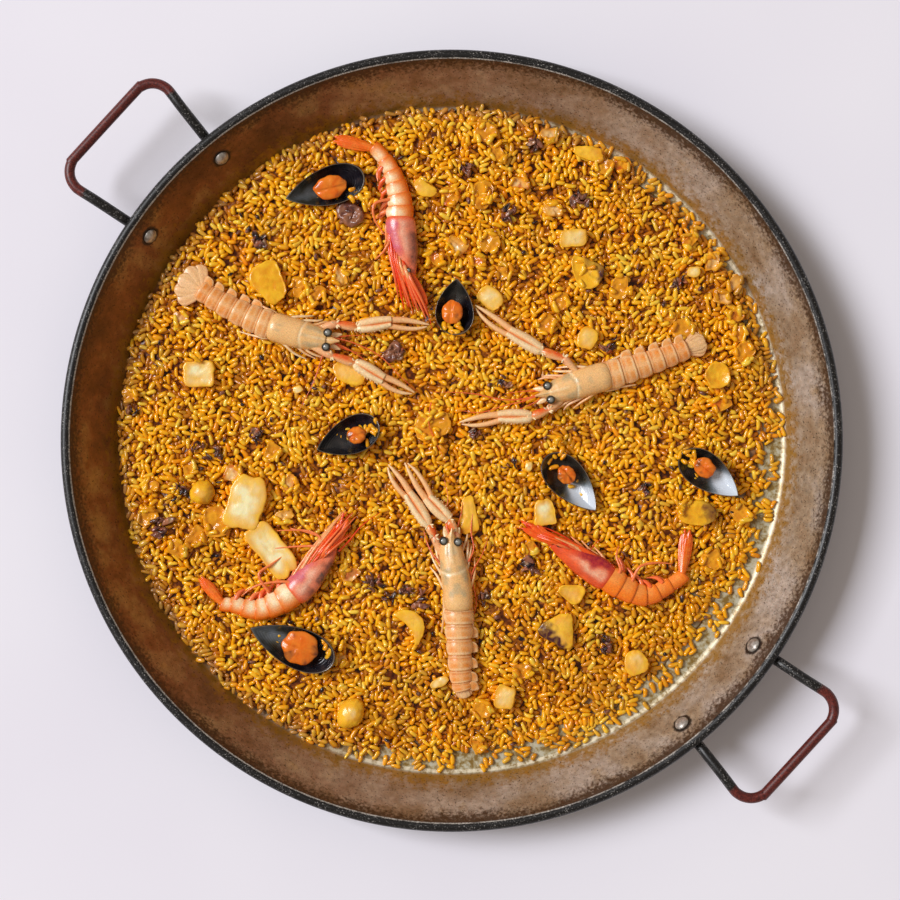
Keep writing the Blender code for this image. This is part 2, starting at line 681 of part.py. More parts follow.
def make_toppings(food):
    """Every separate piece that lies on the rice."""
    langoustine = material("langoustine shell", (222, 168, 112), 0.35)
    prawn = material("prawn shell", (226, 104, 60), 0.32)
    shell = material("mussel shell", (30, 30, 38), 0.25)
    meat = material("mussel meat", (216, 104, 30), 0.4)
    squid = material("squid", (228, 190, 70), 0.35)
    onion = material("onion", (204, 130, 26), 0.3)
    tentacle = material("tentacle", (78, 44, 44), 0.4)
    before = set(bpy.data.objects)
    for name, form in LANGOUSTINES.items():
        make_langoustine(name, form["spine"], form["arms"], form["spread"], langoustine, food)
    for name, form in PRAWNS.items():
        make_prawn(name, form["spine"], form["spread"], prawn, food)
    for number, (hinge, end, width, tilt, content) in enumerate(MUSSELS, 1):
        make_mussel(number, hinge, end, width, tilt, content, shell, meat, food)
    for prefix, pieces, finish in (("squid", SQUID, squid), ("onion", ONION, onion),
                                   ("tentacle", TENTACLES, tentacle)):
        for number, (centre, length, width, height, heading, form) in enumerate(pieces, 1):
            make_lump("%s_%d" % (prefix, number), centre, length, width, height, heading,
                      finish, food, **form)
    return [made for made in bpy.data.objects if made not in before]


def main():
    clear_scene()
    enamel = material("worn pan steel", (120, 96, 76), 0.45, 0.7)
    rod = material("handle rod", (52, 22, 20), 0.4, 0.2)
    steel = material("rivet steel", (170, 165, 160), 0.3, 1.0)
    grain = material("saffron rice", (214, 148, 24), 0.35)
    holes = make_rivets(steel)
    drill(make_pan(enamel), holes)
    make_handle("handle_1", rod, holes, 0.0)
    make_handle("handle_2", rod, holes, math.pi)
    food = turned_empty("food", FOOD_TURN)
    toppings = make_toppings(food)
    make_rice(grain, food, toppings)


main()
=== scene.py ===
"""Looks of a seafood paella served in its 60 cm steel pan.

Lengths are millimetres until a mesh is made. The food is laid out as it is seen from above,
x to the right and y up, and turned about the centre of the pan to bring the handles on to X.
"""

import random
from math import acos, asin, atan, atan2, ceil, cos, hypot, pi, radians, sin, sqrt, tan, tau

import bmesh
import bpy
import numpy as np
from mathutils import Matrix, Vector, noise
from mathutils.bvhtree import BVHTree


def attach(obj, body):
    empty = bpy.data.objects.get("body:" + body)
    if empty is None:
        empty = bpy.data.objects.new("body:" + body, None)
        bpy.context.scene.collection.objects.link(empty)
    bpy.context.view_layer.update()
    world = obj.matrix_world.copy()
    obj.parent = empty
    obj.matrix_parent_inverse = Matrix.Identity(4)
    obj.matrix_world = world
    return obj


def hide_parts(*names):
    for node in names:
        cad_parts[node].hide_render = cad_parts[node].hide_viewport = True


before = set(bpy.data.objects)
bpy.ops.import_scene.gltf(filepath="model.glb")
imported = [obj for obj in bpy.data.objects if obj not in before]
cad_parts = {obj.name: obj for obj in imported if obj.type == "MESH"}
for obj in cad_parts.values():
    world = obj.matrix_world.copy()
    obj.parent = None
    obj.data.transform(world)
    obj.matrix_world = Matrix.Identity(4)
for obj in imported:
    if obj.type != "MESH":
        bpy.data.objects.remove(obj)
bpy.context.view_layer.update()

MM = 0.001
FOOD_TURN = radians(42.5)

# Pan of sheet steel with a rolled rim
RIM_RADIUS = 299.8
RIM_HEIGHT = 49.8
BEAD_RADIUS = 4.0
SHEET = 2.0
FLOOR_CORNER = 262.0
CORNER_FILLET = 8.0
PAN_STEPS = 320
BEAD_REACH = (RIM_RADIUS - BEAD_RADIUS - FLOOR_CORNER, RIM_HEIGHT - BEAD_RADIUS - SHEET)
WALL_LEAN = atan2(*BEAD_REACH) - asin(BEAD_RADIUS / hypot(*BEAD_REACH))

# Handles of bent rod with flattened ends, riveted to the wall
ROD = 8.0
HANDLE_REACH = 359.6
HANDLE_CORNER = 17.0
HANDLE_SPLAY = 0.16
HANDLE_HEIGHT = 46.3
TAB_WIDTH = 15.0
TAB_THICKNESS = 3.0
TAB_GAP = 0.5
RIVET_HEIGHT = 32.0
RIVET_SIDE = 41.0
RIVET_HEAD = 5.75
RIVET_GAP = 0.3
RIVET_DOME = 2.8
RIVET_PLACES = [(end, side) for end in (1, -1) for side in (1, -1)]

# Rice, thinner on one side of the pan
RICE_TOP = 15.0
RICE_THIN_TOP = 7.5
RICE_EDGE = 262.0
RICE_THIN_EDGE = 251.0
RICE_SWELL = 1.1
RICE_SWELL_WIDTH = 60.0
THIN_DIRECTION = radians(-48)
SECOND_THIN_DIRECTION = radians(40)
GRAIN_LENGTH = 8.4
GRAIN_WIDTH = 3.9
GRAIN_SPACING = 5.2
ROW_RATIO = 0.866
STREWN_TO = 270.0
LAYER_DEPTH = 7.0
GRAINS_IN_A_PIECE = 3500
GRAIN_GAPS = 0.07

# Shellfish, and how deep each kind of piece lies in the rice
LANGOUSTINE_GIRTH = 23.0
PRAWN_GIRTH = 22.0
SEAFOOD_SINK = 1.6
MUSSEL_DEPTH = 12.5
MUSSEL_THICKNESS = 1.5
MUSSEL_SINK = 3.6
LUMP_SINK = 2.2


def smooth_step(value, low, high):
    share = np.clip((value - low) / (high - low), 0.0, 1.0)
    return share * share * (3 - 2 * share)


def arc(centre, radius, start, end, count):
    """Points of a circular arc in a plane, from one angle to the other."""
    angles = [start + (end - start) * step / (count - 1) for step in range(count)]
    return [(centre[0] + radius * cos(a), centre[1] + radius * sin(a)) for a in angles]


def through(points, share):
    """Value at a share of the way along a smooth curve through the given points or numbers."""
    spans = len(points) - 1
    place = min(max(share, 0.0), 1.0) * spans
    index = min(int(place), spans - 1)
    t = place - index
    before = points[max(index - 1, 0)]
    start, end = points[index], points[index + 1]
    after = points[min(index + 2, spans)]
    return 0.5 * (2 * start + (end - before) * t + (2 * before - 5 * start + 4 * end - after) * t * t
                  + (3 * start - before - 3 * end + after) * t ** 3)


def along(points, count):
    """Points or numbers at even shares of a smooth curve through the given ones."""
    points = [np.asarray(point, float) for point in points]
    return np.array([through(points, step / (count - 1)) for step in range(count)])


def wave(x, y, z=0.0):
    """Smooth noise between about -1 and 1."""
    return noise.noise(Vector((x, y, z)))


waves = np.vectorize(wave, otypes=[float])


def bell(value, centre, width):
    """1 at the centre, and close to 0 at twice the width from it."""
    return np.exp(-((value - centre) / width) ** 2)


def unit(vectors):
    """Vectors made one long."""
    return vectors / np.linalg.norm(vectors, axis=-1, keepdims=True)


def left_of(ahead):
    """Level vector to the left of one that lies in plan."""
    return np.array((-ahead[1], ahead[0], 0.0))


def spun(points, angle):
    """Points turned about Z."""
    return points @ np.array(Matrix.Rotation(angle, 3, "Z")).T


def pointing(turn, tilt):
    """Unit vector at an angle in plan and an angle above it."""
    return cos(turn) * cos(tilt), sin(turn) * cos(tilt), sin(tilt)


def flat_line(points):
    """Places in plan as points at height 0."""
    return [np.array((x, y, 0.0)) for x, y in points]


class Clay:
    """Points, faces and painted masks of one piece before it becomes a mesh."""

    def __init__(self):
        self.points = []
        self.faces = []
        self.kinds = []
        self.masks = {}
        self.count = 0

    def add(self, points, faces, kind=0, **masks):
        points = np.asarray(points, float).reshape(-1, 3)
        self.faces += [tuple(self.count + index for index in face) for face in faces]
        self.kinds += [kind] * len(faces)
        for name, values in masks.items():
            self.masks.setdefault(name, []).append(
                (self.count, np.broadcast_to(values, len(points)).astype(float)))
        self.points.append(points)
        self.count += len(points)

    def make(self, name, finishes, slot, replaced=(), turned=True):
        """The mesh, in metres in the row frame, riding on the pan."""
        points = np.concatenate(self.points) * MM
        if turned:
            points = spun(points, FOOD_TURN)
        mesh = bpy.data.meshes.new(name)
        mesh.from_pydata(points.tolist(), [], self.faces)
        for finish in finishes:
            mesh.materials.append(finish)
        mesh.polygons.foreach_set("material_index", self.kinds)
        for mask, parts in self.masks.items():
            values = np.zeros(self.count, np.float32)
            for start, part in parts:
                values[start:start + len(part)] = part
            mesh.attributes.new(mask, "FLOAT", "POINT").data.foreach_set("value", values)
        work = bmesh.new()
        work.from_mesh(mesh)
        bmesh.ops.recalc_face_normals(work, faces=work.faces)
        work.to_mesh(mesh)
        work.free()
        mesh.shade_smooth()
        return place(name, mesh, slot, replaced)


def place(name, mesh, slot, replaced=()):
    piece = bpy.data.objects.new(name, mesh)
    bpy.context.scene.collection.objects.link(piece)
    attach(piece, "root")
    if replaced:
        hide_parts(*replaced)
    return piece


def ring_faces(rows, sides):
    """Faces between rings of points, closed round, with flat ends."""
    faces = []
    for row in range(rows - 1):
        near, far = row * sides, (row + 1) * sides
        for side in range(sides):
            after = (side + 1) % sides
            faces.append((near + side, near + after, far + after, far + side))
    last = (rows - 1) * sides
    return faces + [tuple(reversed(range(sides))), tuple(last + side for side in range(sides))]


def loft(clay, rings, kind=0, **masks):
    """Skin over rings of points; a mask is a number, or an array that spreads over rows by sides."""
    rings = np.asarray(rings, float)
    rows, sides = rings.shape[:2]
    spread = {name: np.broadcast_to(value, (rows, sides)).ravel() for name, value in masks.items()}
    clay.add(rings, ring_faces(rows, sides), kind, **spread)


def level_frame(path):
    """Unit vectors level across and upward at each point of a path."""
    ahead = unit(np.gradient(path, axis=0))
    across = unit(np.cross(ahead, (0, 0, 1.0)))
    return across, np.cross(across, ahead)


def section_angles(sides):
    return np.arange(sides) * tau / sides


def oval_rings(path, widths, heights, sides):
    """Oval sections along a path."""
    across, upward = level_frame(path)
    angles = section_angles(sides)
    wide = (np.asarray(widths) / 2)[:, None] * np.cos(angles)
    high = (np.asarray(heights) / 2)[:, None] * np.sin(angles)
    return path[:, None] + across[:, None] * wide[..., None] + upward[:, None] * high[..., None]


def limb(clay, path, sizes, rows=24, sides=10, kind=0, **masks):
    """Round limb along a smooth curve; sizes are diameters, or widths and heights."""
    path = along(path, rows)
    sizes = along(sizes, rows)
    if sizes.ndim == 1:
        sizes = np.column_stack((sizes, sizes))
    sizes = np.maximum(sizes, 0.25)
    loft(clay, oval_rings(path, sizes[:, 0], sizes[:, 1], sides), kind, **masks)


# Finishes

RGBA = {"data_type": "RGBA"}
SMOOTH = {"interpolation_type": "SMOOTHSTEP"}
TIMES = {"operation": "MULTIPLY"}
TIMES_PLUS = {"operation": "MULTIPLY_ADD"}


def linear(text):
    """Linear colour of an sRGB hex value."""
    parts = [int(text[place:place + 2], 16) / 255 for place in (1, 3, 5)]
    return (*[p / 12.92 if p <= 0.04045 else ((p + 0.055) / 1.055) ** 2.4 for p in parts], 1.0)


def add(tree, kind, settings=None, sockets=None):
    """A node with its settings, and its sockets' values or the outputs they are linked from."""
    made = tree.nodes.new("ShaderNode" + kind)
    for name, value in (settings or {}).items():
        if name == "stops":
            ramp = made.color_ramp
            while len(ramp.elements) < len(value):
                ramp.elements.new(0.5)
            for element, (position, colour) in zip(ramp.elements, value):
                element.position = position
                element.color = linear(colour)
        else:
            setattr(made, name, value)
    for name, value in (sockets or {}).items():
        if isinstance(value, bpy.types.NodeSocket):
            tree.links.new(value, made.inputs[name])
        else:
            made.inputs[name].default_value = value
    return made


def new_finish(name, **values):
    """A material, its node tree and the place on it in millimetres.

    values go to the sockets of its surface. A pattern's scale is one over its size.
    """
    made = bpy.data.materials.new(name)
    made.use_nodes = True
    tree = made.node_tree
    for socket, value in values.items():
        tree.nodes["Principled BSDF"].inputs[socket.replace("_", " ")].default_value = value
    place_of = add(tree, "TexCoord").outputs["Object"]
    scaled = add(tree, "VectorMath", {"operation": "SCALE"}, {0: place_of, "Scale": 1 / MM})
    return made, tree, scaled.outputs[0]


def cover(made, colour, relief=None, strength=0.3, depth=0.0005):
    """Give a material its colour, and its fine relief so many metres deep."""
    tree = made.node_tree
    surface = tree.nodes["Principled BSDF"]
    tree.links.new(colour, surface.inputs["Base Color"])
    if relief:
        bump = add(tree, "Bump", None, {"Strength": strength, "Distance": depth, "Height": relief})
        tree.links.new(bump.outputs[0], surface.inputs["Normal"])
    return made


def stained(tree, colour, cloud, faint, full, shades):
    """Lay each shade over the colour where the mask of its name is painted, cloudy at its edges."""
    uneven = add(tree, "MapRange", None, {0: cloud, 1: 0.3, 2: 0.7, 3: faint, 4: full}).outputs[0]
    for mask, shade in shades.items():
        wanted = add(tree, "Attribute", {"attribute_name": mask}).outputs["Fac"]
        share = add(tree, "Math", {**TIMES, "use_clamp": True}, {0: wanted, 1: uneven}).outputs[0]
        colour = add(tree, "Mix", RGBA, {0: share, 6: colour, 7: linear(shade)}).outputs[2]
    return colour


def rice_finish():
    """Bomba rice boiled in saffron stock until it is dry, then oiled by the frying base.

    The grains are translucent and wet, so they are deep yellow with a sharp shine on top. Grains lying deep
    between the others take the brown of the sauce as painted shade.
    """
    made, tree, spot = new_finish("boiled saffron rice", Roughness=0.22, IOR=1.42, Coat_Weight=0.5,
                                  Coat_Roughness=0.06, Subsurface_Weight=0.15, Subsurface_Scale=0.0012,
                                  Subsurface_Radius=(1.0, 0.45, 0.08))
    tint, glaze, toast = (add(tree, "Attribute", {"attribute_name": mask}).outputs["Fac"]
                          for mask in ("tint", "glaze", "toast"))
    stain = add(tree, "TexNoise", None, {"Vector": spot, "Scale": 1 / 4.0, "Detail": 2.0})
    mixed = add(tree, "Math", TIMES_PLUS, {0: stain.outputs["Fac"], 1: 0.6, 2: tint})
    colour = add(tree, "ValToRGB", {"stops": [(0.2, "#F28E08"), (0.45, "#FFA408"), (0.7, "#FFBA10"),
                                              (0.95, "#FFD848")]}, {0: mixed.outputs[0]}).outputs[0]
    for share, shade in ((glaze, "#AC5A08"), (toast, "#A87844")):
        colour = add(tree, "Mix", RGBA, {0: share, 6: colour, 7: linear(shade)}).outputs[2]
    skin = add(tree, "TexNoise", None, {"Vector": spot, "Scale": 1 / 0.9, "Detail": 2.0})
    return cover(made, colour, skin.outputs["Fac"], 0.25, 0.0003)


def stock_and_gap_shade_finish():
    """Reduced stock and oil between the grains, very shiny where it is wet; its dark browns are partly the
    stock's own and partly painted shade for the gaps between the grains.
    """
    made, tree, spot = new_finish("reduced saffron stock", Roughness=0.26, IOR=1.4)
    pool = add(tree, "TexNoise", None, {"Vector": spot, "Scale": 1 / 7.0, "Detail": 3.0}).outputs["Fac"]
    brown = add(tree, "ValToRGB", {"stops": [(0.38, "#371203"), (0.52, "#6E3206"), (0.68, "#C0700E")]},
                {0: pool})
    bare = add(tree, "Attribute", {"attribute_name": "bare"}).outputs["Fac"]
    floor = add(tree, "Mix", RGBA, {0: bare, 6: brown.outputs[0], 7: linear("#C2B896")})
    return cover(made, floor.outputs[2], pool, 0.5, 0.0015)


def shell_finish(name, base, shine, **shades):
    """Cooked shell: thin horny skin, smooth and a little wet, mottled by pigment that heat turned.

    Masks of the same names paint the warm and red joints, pale edges, grey see-through patches
    and dark seams.
    """
    made, tree, spot = new_finish(name, Roughness=shine, IOR=1.5, Coat_Weight=0.2, Coat_Roughness=0.12,
                                  Subsurface_Weight=0.1, Subsurface_Scale=0.002,
                                  Subsurface_Radius=(1.0, 0.45, 0.2))
    mottle = add(tree, "TexNoise", None, {"Vector": spot, "Scale": 1 / 3.5, "Detail": 4.0,
                                          "Roughness": 0.6}).outputs["Fac"]
    colour = stained(tree, linear(base), mottle, 0.55, 1.25, shades)
    freckle = add(tree, "TexNoise", None, {"Vector": spot, "Scale": 1 / 0.9, "Detail": 2.0})
    speck = add(tree, "MapRange", None, {0: freckle.outputs["Fac"], 1: 0.35, 2: 0.65, 3: 0.87, 4: 1.15})
    final = add(tree, "Mix", {**RGBA, "blend_type": "MULTIPLY"}, {0: 1.0, 6: colour, 7: speck.outputs[0]})
    return cover(made, final.outputs[2], mottle, 0.3, 0.0005)


def flesh_finish(name, base, stain, spotted, shine, translucent=0.15):
    """Soft wet flesh, such as squid, mussel or onion: smooth, a little see-through, stained by stock.

    Masks pale, rust and dark paint what is left white, what is seared and what is nearly black.
    """
    made, tree, spot = new_finish(name, Roughness=shine, IOR=1.4, Coat_Weight=0.3, Coat_Roughness=0.1,
                                  Subsurface_Weight=translucent, Subsurface_Scale=0.003,
                                  Subsurface_Radius=(1.0, 0.5, 0.15))
    cloud = add(tree, "TexNoise", None, {"Vector": spot, "Scale": 1 / 8.0, "Detail": 3.0,
                                         "Distortion": 0.6}).outputs["Fac"]
    level = add(tree, "MapRange", None, {0: cloud, 1: 0.35, 2: 0.65}).outputs[0]
    colour = add(tree, "Mix", RGBA, {0: level, 6: linear(base), 7: linear(stain)}).outputs[2]
    colour = stained(tree, colour, cloud, 0.5, 1.3, {"pale": "#FFF3BC", "rust": "#CF5A10", "dark": spotted})
    fibre = add(tree, "TexNoise", None, {"Vector": spot, "Scale": 1 / 1.6, "Detail": 3.0})
    return cover(made, colour, fibre.outputs["Fac"], 0.35, 0.0006)


def mussel_finish():
    """Mussel shell: blue-black horny skin in fine growth bands outside, thin pearl inside."""
    made, tree, spot = new_finish("mussel shell", Roughness=0.22, IOR=1.53, Coat_Weight=0.5,
                                  Coat_Roughness=0.08)
    grow, pearl, brim = (add(tree, "Attribute", {"attribute_name": mask}).outputs["Fac"]
                         for mask in ("grow", "pearl", "brim"))
    cloud = add(tree, "TexNoise", None, {"Vector": spot, "Scale": 1 / 7.0, "Detail": 3.0}).outputs["Fac"]
    skin = add(tree, "ValToRGB", {"stops": [(0.35, "#0B0C12"), (0.55, "#1B1A22"), (0.75, "#33282C")]},
               {0: cloud})
    tide = add(tree, "Math", TIMES_PLUS, {0: cloud, 1: 0.5, 2: pearl})
    sheen = add(tree, "ValToRGB", {"stops": [(0.3, "#20222B"), (0.5, "#57543A"), (0.75, "#8F9AA2"),
                                             (1.0, "#D5DDE6")]}, {0: tide.outputs[0]})
    colour = skin.outputs[0]
    for share, shade in ((pearl, sheen.outputs[0]), (brim, linear("#8A7860"))):
        colour = add(tree, "Mix", RGBA, {0: share, 6: colour, 7: shade}).outputs[2]
    band = add(tree, "Math", TIMES, {0: grow, 1: 90.0})
    ridge = add(tree, "Math", {"operation": "SINE"}, {0: band.outputs[0]})
    return cover(made, colour, ridge.outputs[0], 0.25, 0.0002)


def eye_finish():
    """Stalked eye of a cooked shellfish: a black glassy bead."""
    made, tree, spot = new_finish("shellfish eye", Roughness=0.08, IOR=1.45, Coat_Weight=0.6,
                                  Coat_Roughness=0.03)
    haze = add(tree, "TexNoise", None, {"Vector": spot, "Scale": 1 / 1.2, "Detail": 1.0})
    black = add(tree, "ValToRGB", {"stops": [(0.4, "#050506"), (0.75, "#1A1718")]}, {0: haze.outputs["Fac"]})
    # Painted highlight: a pale patch on top of each black eye.
    cloudy = add(tree, "Attribute", {"attribute_name": "cloudy"}).outputs["Fac"]
    lens = add(tree, "Mix", RGBA, {0: cloudy, 6: black.outputs[0], 7: linear("#A9A79C")})
    return cover(made, lens.outputs[2])


def pan_finish():
    """Carbon steel, pressed and polished, then stained by years of heat and oil.

    It is a dull warm grey with brown specks, burnt dark under the rim and golden above the floor,
    and browner and darker on the side whose wall faces away from the light: partly heat stain, partly
    painted shade.
    """
    made, tree, spot = new_finish("heat-stained pan steel", Metallic=0.3)
    height = add(tree, "SeparateXYZ", None, {0: spot}).outputs[2]
    flat = add(tree, "VectorMath", TIMES, {0: spot, 1: (1, 1, 0)})
    radius = add(tree, "VectorMath", {"operation": "LENGTH"}, {0: flat.outputs[0]}).outputs["Value"]
    patch, fine, soot, grain = (
        add(tree, "TexNoise", None, {"Vector": spot, "Scale": 1 / size, "Detail": detail,
                                     "Roughness": roughness}).outputs["Fac"]
        for size, detail, roughness in ((45.0, 5.0, 0.62), (5.0, 4.0, 0.65), (2.6, 3.0, 0.6),
                                        (1.5, 2.0, 0.5)))
    steel = add(tree, "ValToRGB", {"stops": [(0.3, "#866644"), (0.45, "#A69076"), (0.6, "#BAAC9E"),
                                             (0.75, "#A08050")]}, {0: patch})
    # Painted shade, with some heat stain: the side nearest the light, whose wall faces away from it, is made
    # browner and darker. The scoured floor and the pale corner line are kept off that side.
    shaded_side = add(tree, "VectorMath", {"operation": "DOT_PRODUCT"},
                   {0: spot, 1: Matrix.Rotation(FOOD_TURN, 3, "Z") @ Vector((-0.97, 0.24, 0))})
    browned_and_shaded = add(tree, "MapRange", SMOOTH, {0: shaded_side.outputs["Value"], 1: -190.0, 2: 250.0, 3: 0.0,
                                             4: 0.92}).outputs[0]
    bronze = add(tree, "ValToRGB", {"stops": [(0.36, "#643408"), (0.5, "#86490A"), (0.62, "#A47632")]},
                 {0: patch})
    metal = add(tree, "Mix", RGBA, {0: browned_and_shaded, 6: steel.outputs[0], 7: bronze.outputs[0]})
    mottled = add(tree, "MapRange", None, {0: fine, 1: 0.3, 2: 0.7, 3: 0.72, 4: 1.26})
    colour = add(tree, "Mix", {**RGBA, "blend_type": "MULTIPLY"},
                 {0: 1.0, 6: metal.outputs[2], 7: mottled.outputs[0]}).outputs[2]
    floor = add(tree, "MapRange", SMOOTH, {0: radius, 1: 263.5, 2: 261.0})
    scoured = add(tree, "ValToRGB", {"stops": [(0.4, "#8E7034"), (0.5, "#B2A47C"), (0.6, "#C6C2AA")]},
                  {0: fine})
    clean_and_lit = add(tree, "MapRange", None, {0: browned_and_shaded, 1: 0.3, 2: 0.8, 3: 1.0, 4: 0.0}).outputs[0]
    floor_clean = add(tree, "Math", TIMES, {0: floor.outputs[0], 1: clean_and_lit})
    # Painted highlight: a pale line, broken up by noise, where the floor meets the wall and the corner
    # catches the light, on the lit side only.
    corner = add(tree, "Math", {"operation": "COMPARE"}, {0: radius, 1: 260.2, 2: 1.3})
    rubbed = add(tree, "MapRange", None, {0: fine, 1: 0.4, 2: 0.6, 3: 0.15, 4: 0.95})
    bright = add(tree, "Math", TIMES, {0: corner.outputs[0], 1: rubbed.outputs[0]})
    line = add(tree, "Math", TIMES, {0: bright.outputs[0], 1: clean_and_lit})
    drips = add(tree, "Math", TIMES_PLUS, {0: fine, 1: 40.0, 2: -20.0})
    drip_height = add(tree, "Math", {"operation": "ADD"}, {0: height, 1: drips.outputs[0]})
    oil = add(tree, "MapRange", SMOOTH, {0: drip_height.outputs[0], 1: 18.0, 2: 4.0, 3: 0.0, 4: 0.85})
    wall_only = add(tree, "MapRange", SMOOTH, {0: radius, 1: 262.0, 2: 263.5}).outputs[0]
    oily = add(tree, "Math", TIMES, {0: oil.outputs[0], 1: wall_only})
    high = add(tree, "MapRange", None, {0: height, 1: 26.0, 2: 47.0, 3: -0.24, 4: 0.28})
    ragged = add(tree, "Math", TIMES_PLUS, {0: patch, 1: 0.5, 2: high.outputs[0]})
    scorched = add(tree, "Math", TIMES_PLUS, {0: soot, 1: 0.7, 2: ragged.outputs[0]})
    burnt = add(tree, "MapRange", SMOOTH, {0: scorched.outputs[0], 1: 0.6, 2: 0.88, 3: 0.0, 4: 0.92})
    specks = add(tree, "MapRange", SMOOTH, {0: grain, 1: 0.6, 2: 0.7, 3: 0.0, 4: 0.75})
    speckled = add(tree, "Math", TIMES, {0: specks.outputs[0], 1: wall_only})
    layers = [(floor_clean, scoured.outputs[0]), (line, linear("#EADFC2")), (oily, linear("#A2741E")),
              (burnt, linear("#40260F")), (speckled, linear("#2E1A0C"))]
    for end, side in RIVET_PLACES:
        centre = rivet_matrix(side, end).translation / MM
        gap = add(tree, "VectorMath", {"operation": "DISTANCE"}, {0: spot, 1: centre})
        burr = add(tree, "Math", TIMES_PLUS, {0: fine, 1: 5.0, 2: gap.outputs["Value"]})
        crust = add(tree, "MapRange", SMOOTH, {0: burr.outputs[0], 1: 11.5, 2: 9.5, 3: 0.0, 4: 0.95})
        layers.append((crust, linear("#1E130D")))
    for share, shade in layers:
        colour = add(tree, "Mix", RGBA, {0: share.outputs[0], 6: colour, 7: shade}).outputs[2]
    rough = add(tree, "MapRange", None, {0: fine, 1: 0.3, 2: 0.7, 3: 0.3, 4: 0.55})
    tree.links.new(rough.outputs[0], tree.nodes["Principled BSDF"].inputs["Roughness"])
    return cover(made, colour, fine, 0.3, 0.0006)


def enamel_finish(name, stops):
    """Black vitreous enamel fired on with fine white flecks; where its mask is painted, the colour under it
    shows: worn paint on the handles, and a painted highlight along the rim's inner edge.
    """
    made, tree, spot = new_finish(name, Roughness=0.4, IOR=1.5)
    grit, cloud, rub = (
        add(tree, "TexNoise", None, {"Vector": spot, "Scale": 1 / size, "Detail": detail,
                                     "Roughness": roughness}).outputs["Fac"]
        for size, detail, roughness in ((1.1, 3.0, 0.7), (12.0, 2.0, 0.5), (9.0, 4.0, 0.5)))
    sum_of = add(tree, "Math", TIMES_PLUS, {0: cloud, 1: 0.18, 2: grit})
    fleck = add(tree, "MapRange", SMOOTH, {0: sum_of.outputs[0], 1: 0.68, 2: 0.78, 3: 0.0, 4: 0.85})
    wear = add(tree, "Attribute", {"attribute_name": "wear"}).outputs["Fac"]
    limit = add(tree, "Math", TIMES_PLUS, {0: rub, 1: 0.9, 2: wear})
    worn = add(tree, "MapRange", SMOOTH, {0: limit.outputs[0], 1: 0.85, 2: 1.15})
    under = add(tree, "ValToRGB", {"stops": stops}, {0: grit})
    colour = linear("#0B0A0A")
    for share, shade in ((fleck, linear("#B4B0AB")), (worn, under.outputs[0])):
        colour = add(tree, "Mix", RGBA, {0: share.outputs[0], 6: colour, 7: shade}).outputs[2]
    return cover(made, colour, grit, 0.2, 0.0003)


def rivet_finish():
    """Steel rivet head, hammered round and rubbed bright by cleaning."""
    made, tree, spot = new_finish("rivet steel", Metallic=0.6, Roughness=0.42)
    scuff = add(tree, "TexNoise", None, {"Vector": spot, "Scale": 1 / 2.5, "Detail": 4.0}).outputs["Fac"]
    bright = add(tree, "ValToRGB", {"stops": [(0.3, "#877C72"), (0.6, "#C6C0B8")]}, {0: scuff})
    return cover(made, bright.outputs[0], scuff, 0.3, 0.0004)


def paper_finish():
    """Matt pale studio paper."""
    made, tree, spot = new_finish("studio paper", Roughness=0.9)
    cloud = add(tree, "TexNoise", None, {"Vector": spot, "Scale": 1 / 300.0, "Detail": 2.0})
    pale = add(tree, "ValToRGB", {"stops": [(0.3, "#EEECF6"), (0.7, "#F4F3FB")]}, {0: cloud.outputs["Fac"]})
    return cover(made, pale.outputs[0])


# Pan, handles and rivets

def wall_point(height, outward=0.0):
    """Radius and height on the inside of the wall, or so far outward square to it."""
    radius = FLOOR_CORNER + (height - SHEET) * tan(WALL_LEAN)
    return radius + outward * cos(WALL_LEAN), height - outward * sin(WALL_LEAN)


def rivet_matrix(side, end):
    """Places a rivet's axis square to the wall; side is 1 or -1, and so is end."""
    radius, height = wall_point(RIVET_HEIGHT)
    turn = side * asin(RIVET_SIDE / radius) + (0 if end > 0 else pi)
    lean = Matrix.Rotation(pi / 2 + WALL_LEAN, 4, "Y")
    spot = Matrix.Translation(Vector((radius, 0, height)) * MM)
    return Matrix.Rotation(turn, 4, "Z") @ spot @ lean


def pan_profile():
    """Outline of the pan's section from under the floor, round the rim, to the floor inside."""
    fillet = (FLOOR_CORNER - CORNER_FILLET * tan((pi / 2 - WALL_LEAN) / 2),
              SHEET + CORNER_FILLET)
    bead = (RIM_RADIUS - BEAD_RADIUS, RIM_HEIGHT - BEAD_RADIUS)
    tangent = pi - WALL_LEAN
    meeting = tangent - tau + acos((BEAD_RADIUS - SHEET) / BEAD_RADIUS)
    outside = [(radius, 0.0) for radius in (0.5, 120.0, 240.0)]
    outside += arc(fillet, CORNER_FILLET + SHEET, -pi / 2, -WALL_LEAN, 7)
    rim = arc(bead, BEAD_RADIUS, meeting, tangent, 22)
    fillet_inside = arc(fillet, CORNER_FILLET, -WALL_LEAN, -pi / 2, 7)
    top, bottom = Vector(rim[-1]), Vector(fillet_inside[0])
    wall = [tuple(top.lerp(bottom, step / 14)) for step in range(1, 14)]
    inside = fillet_inside + [(radius, SHEET) for radius in (235.0, 200.0, 120.0, 0.5)]
    return outside + rim, wall + inside


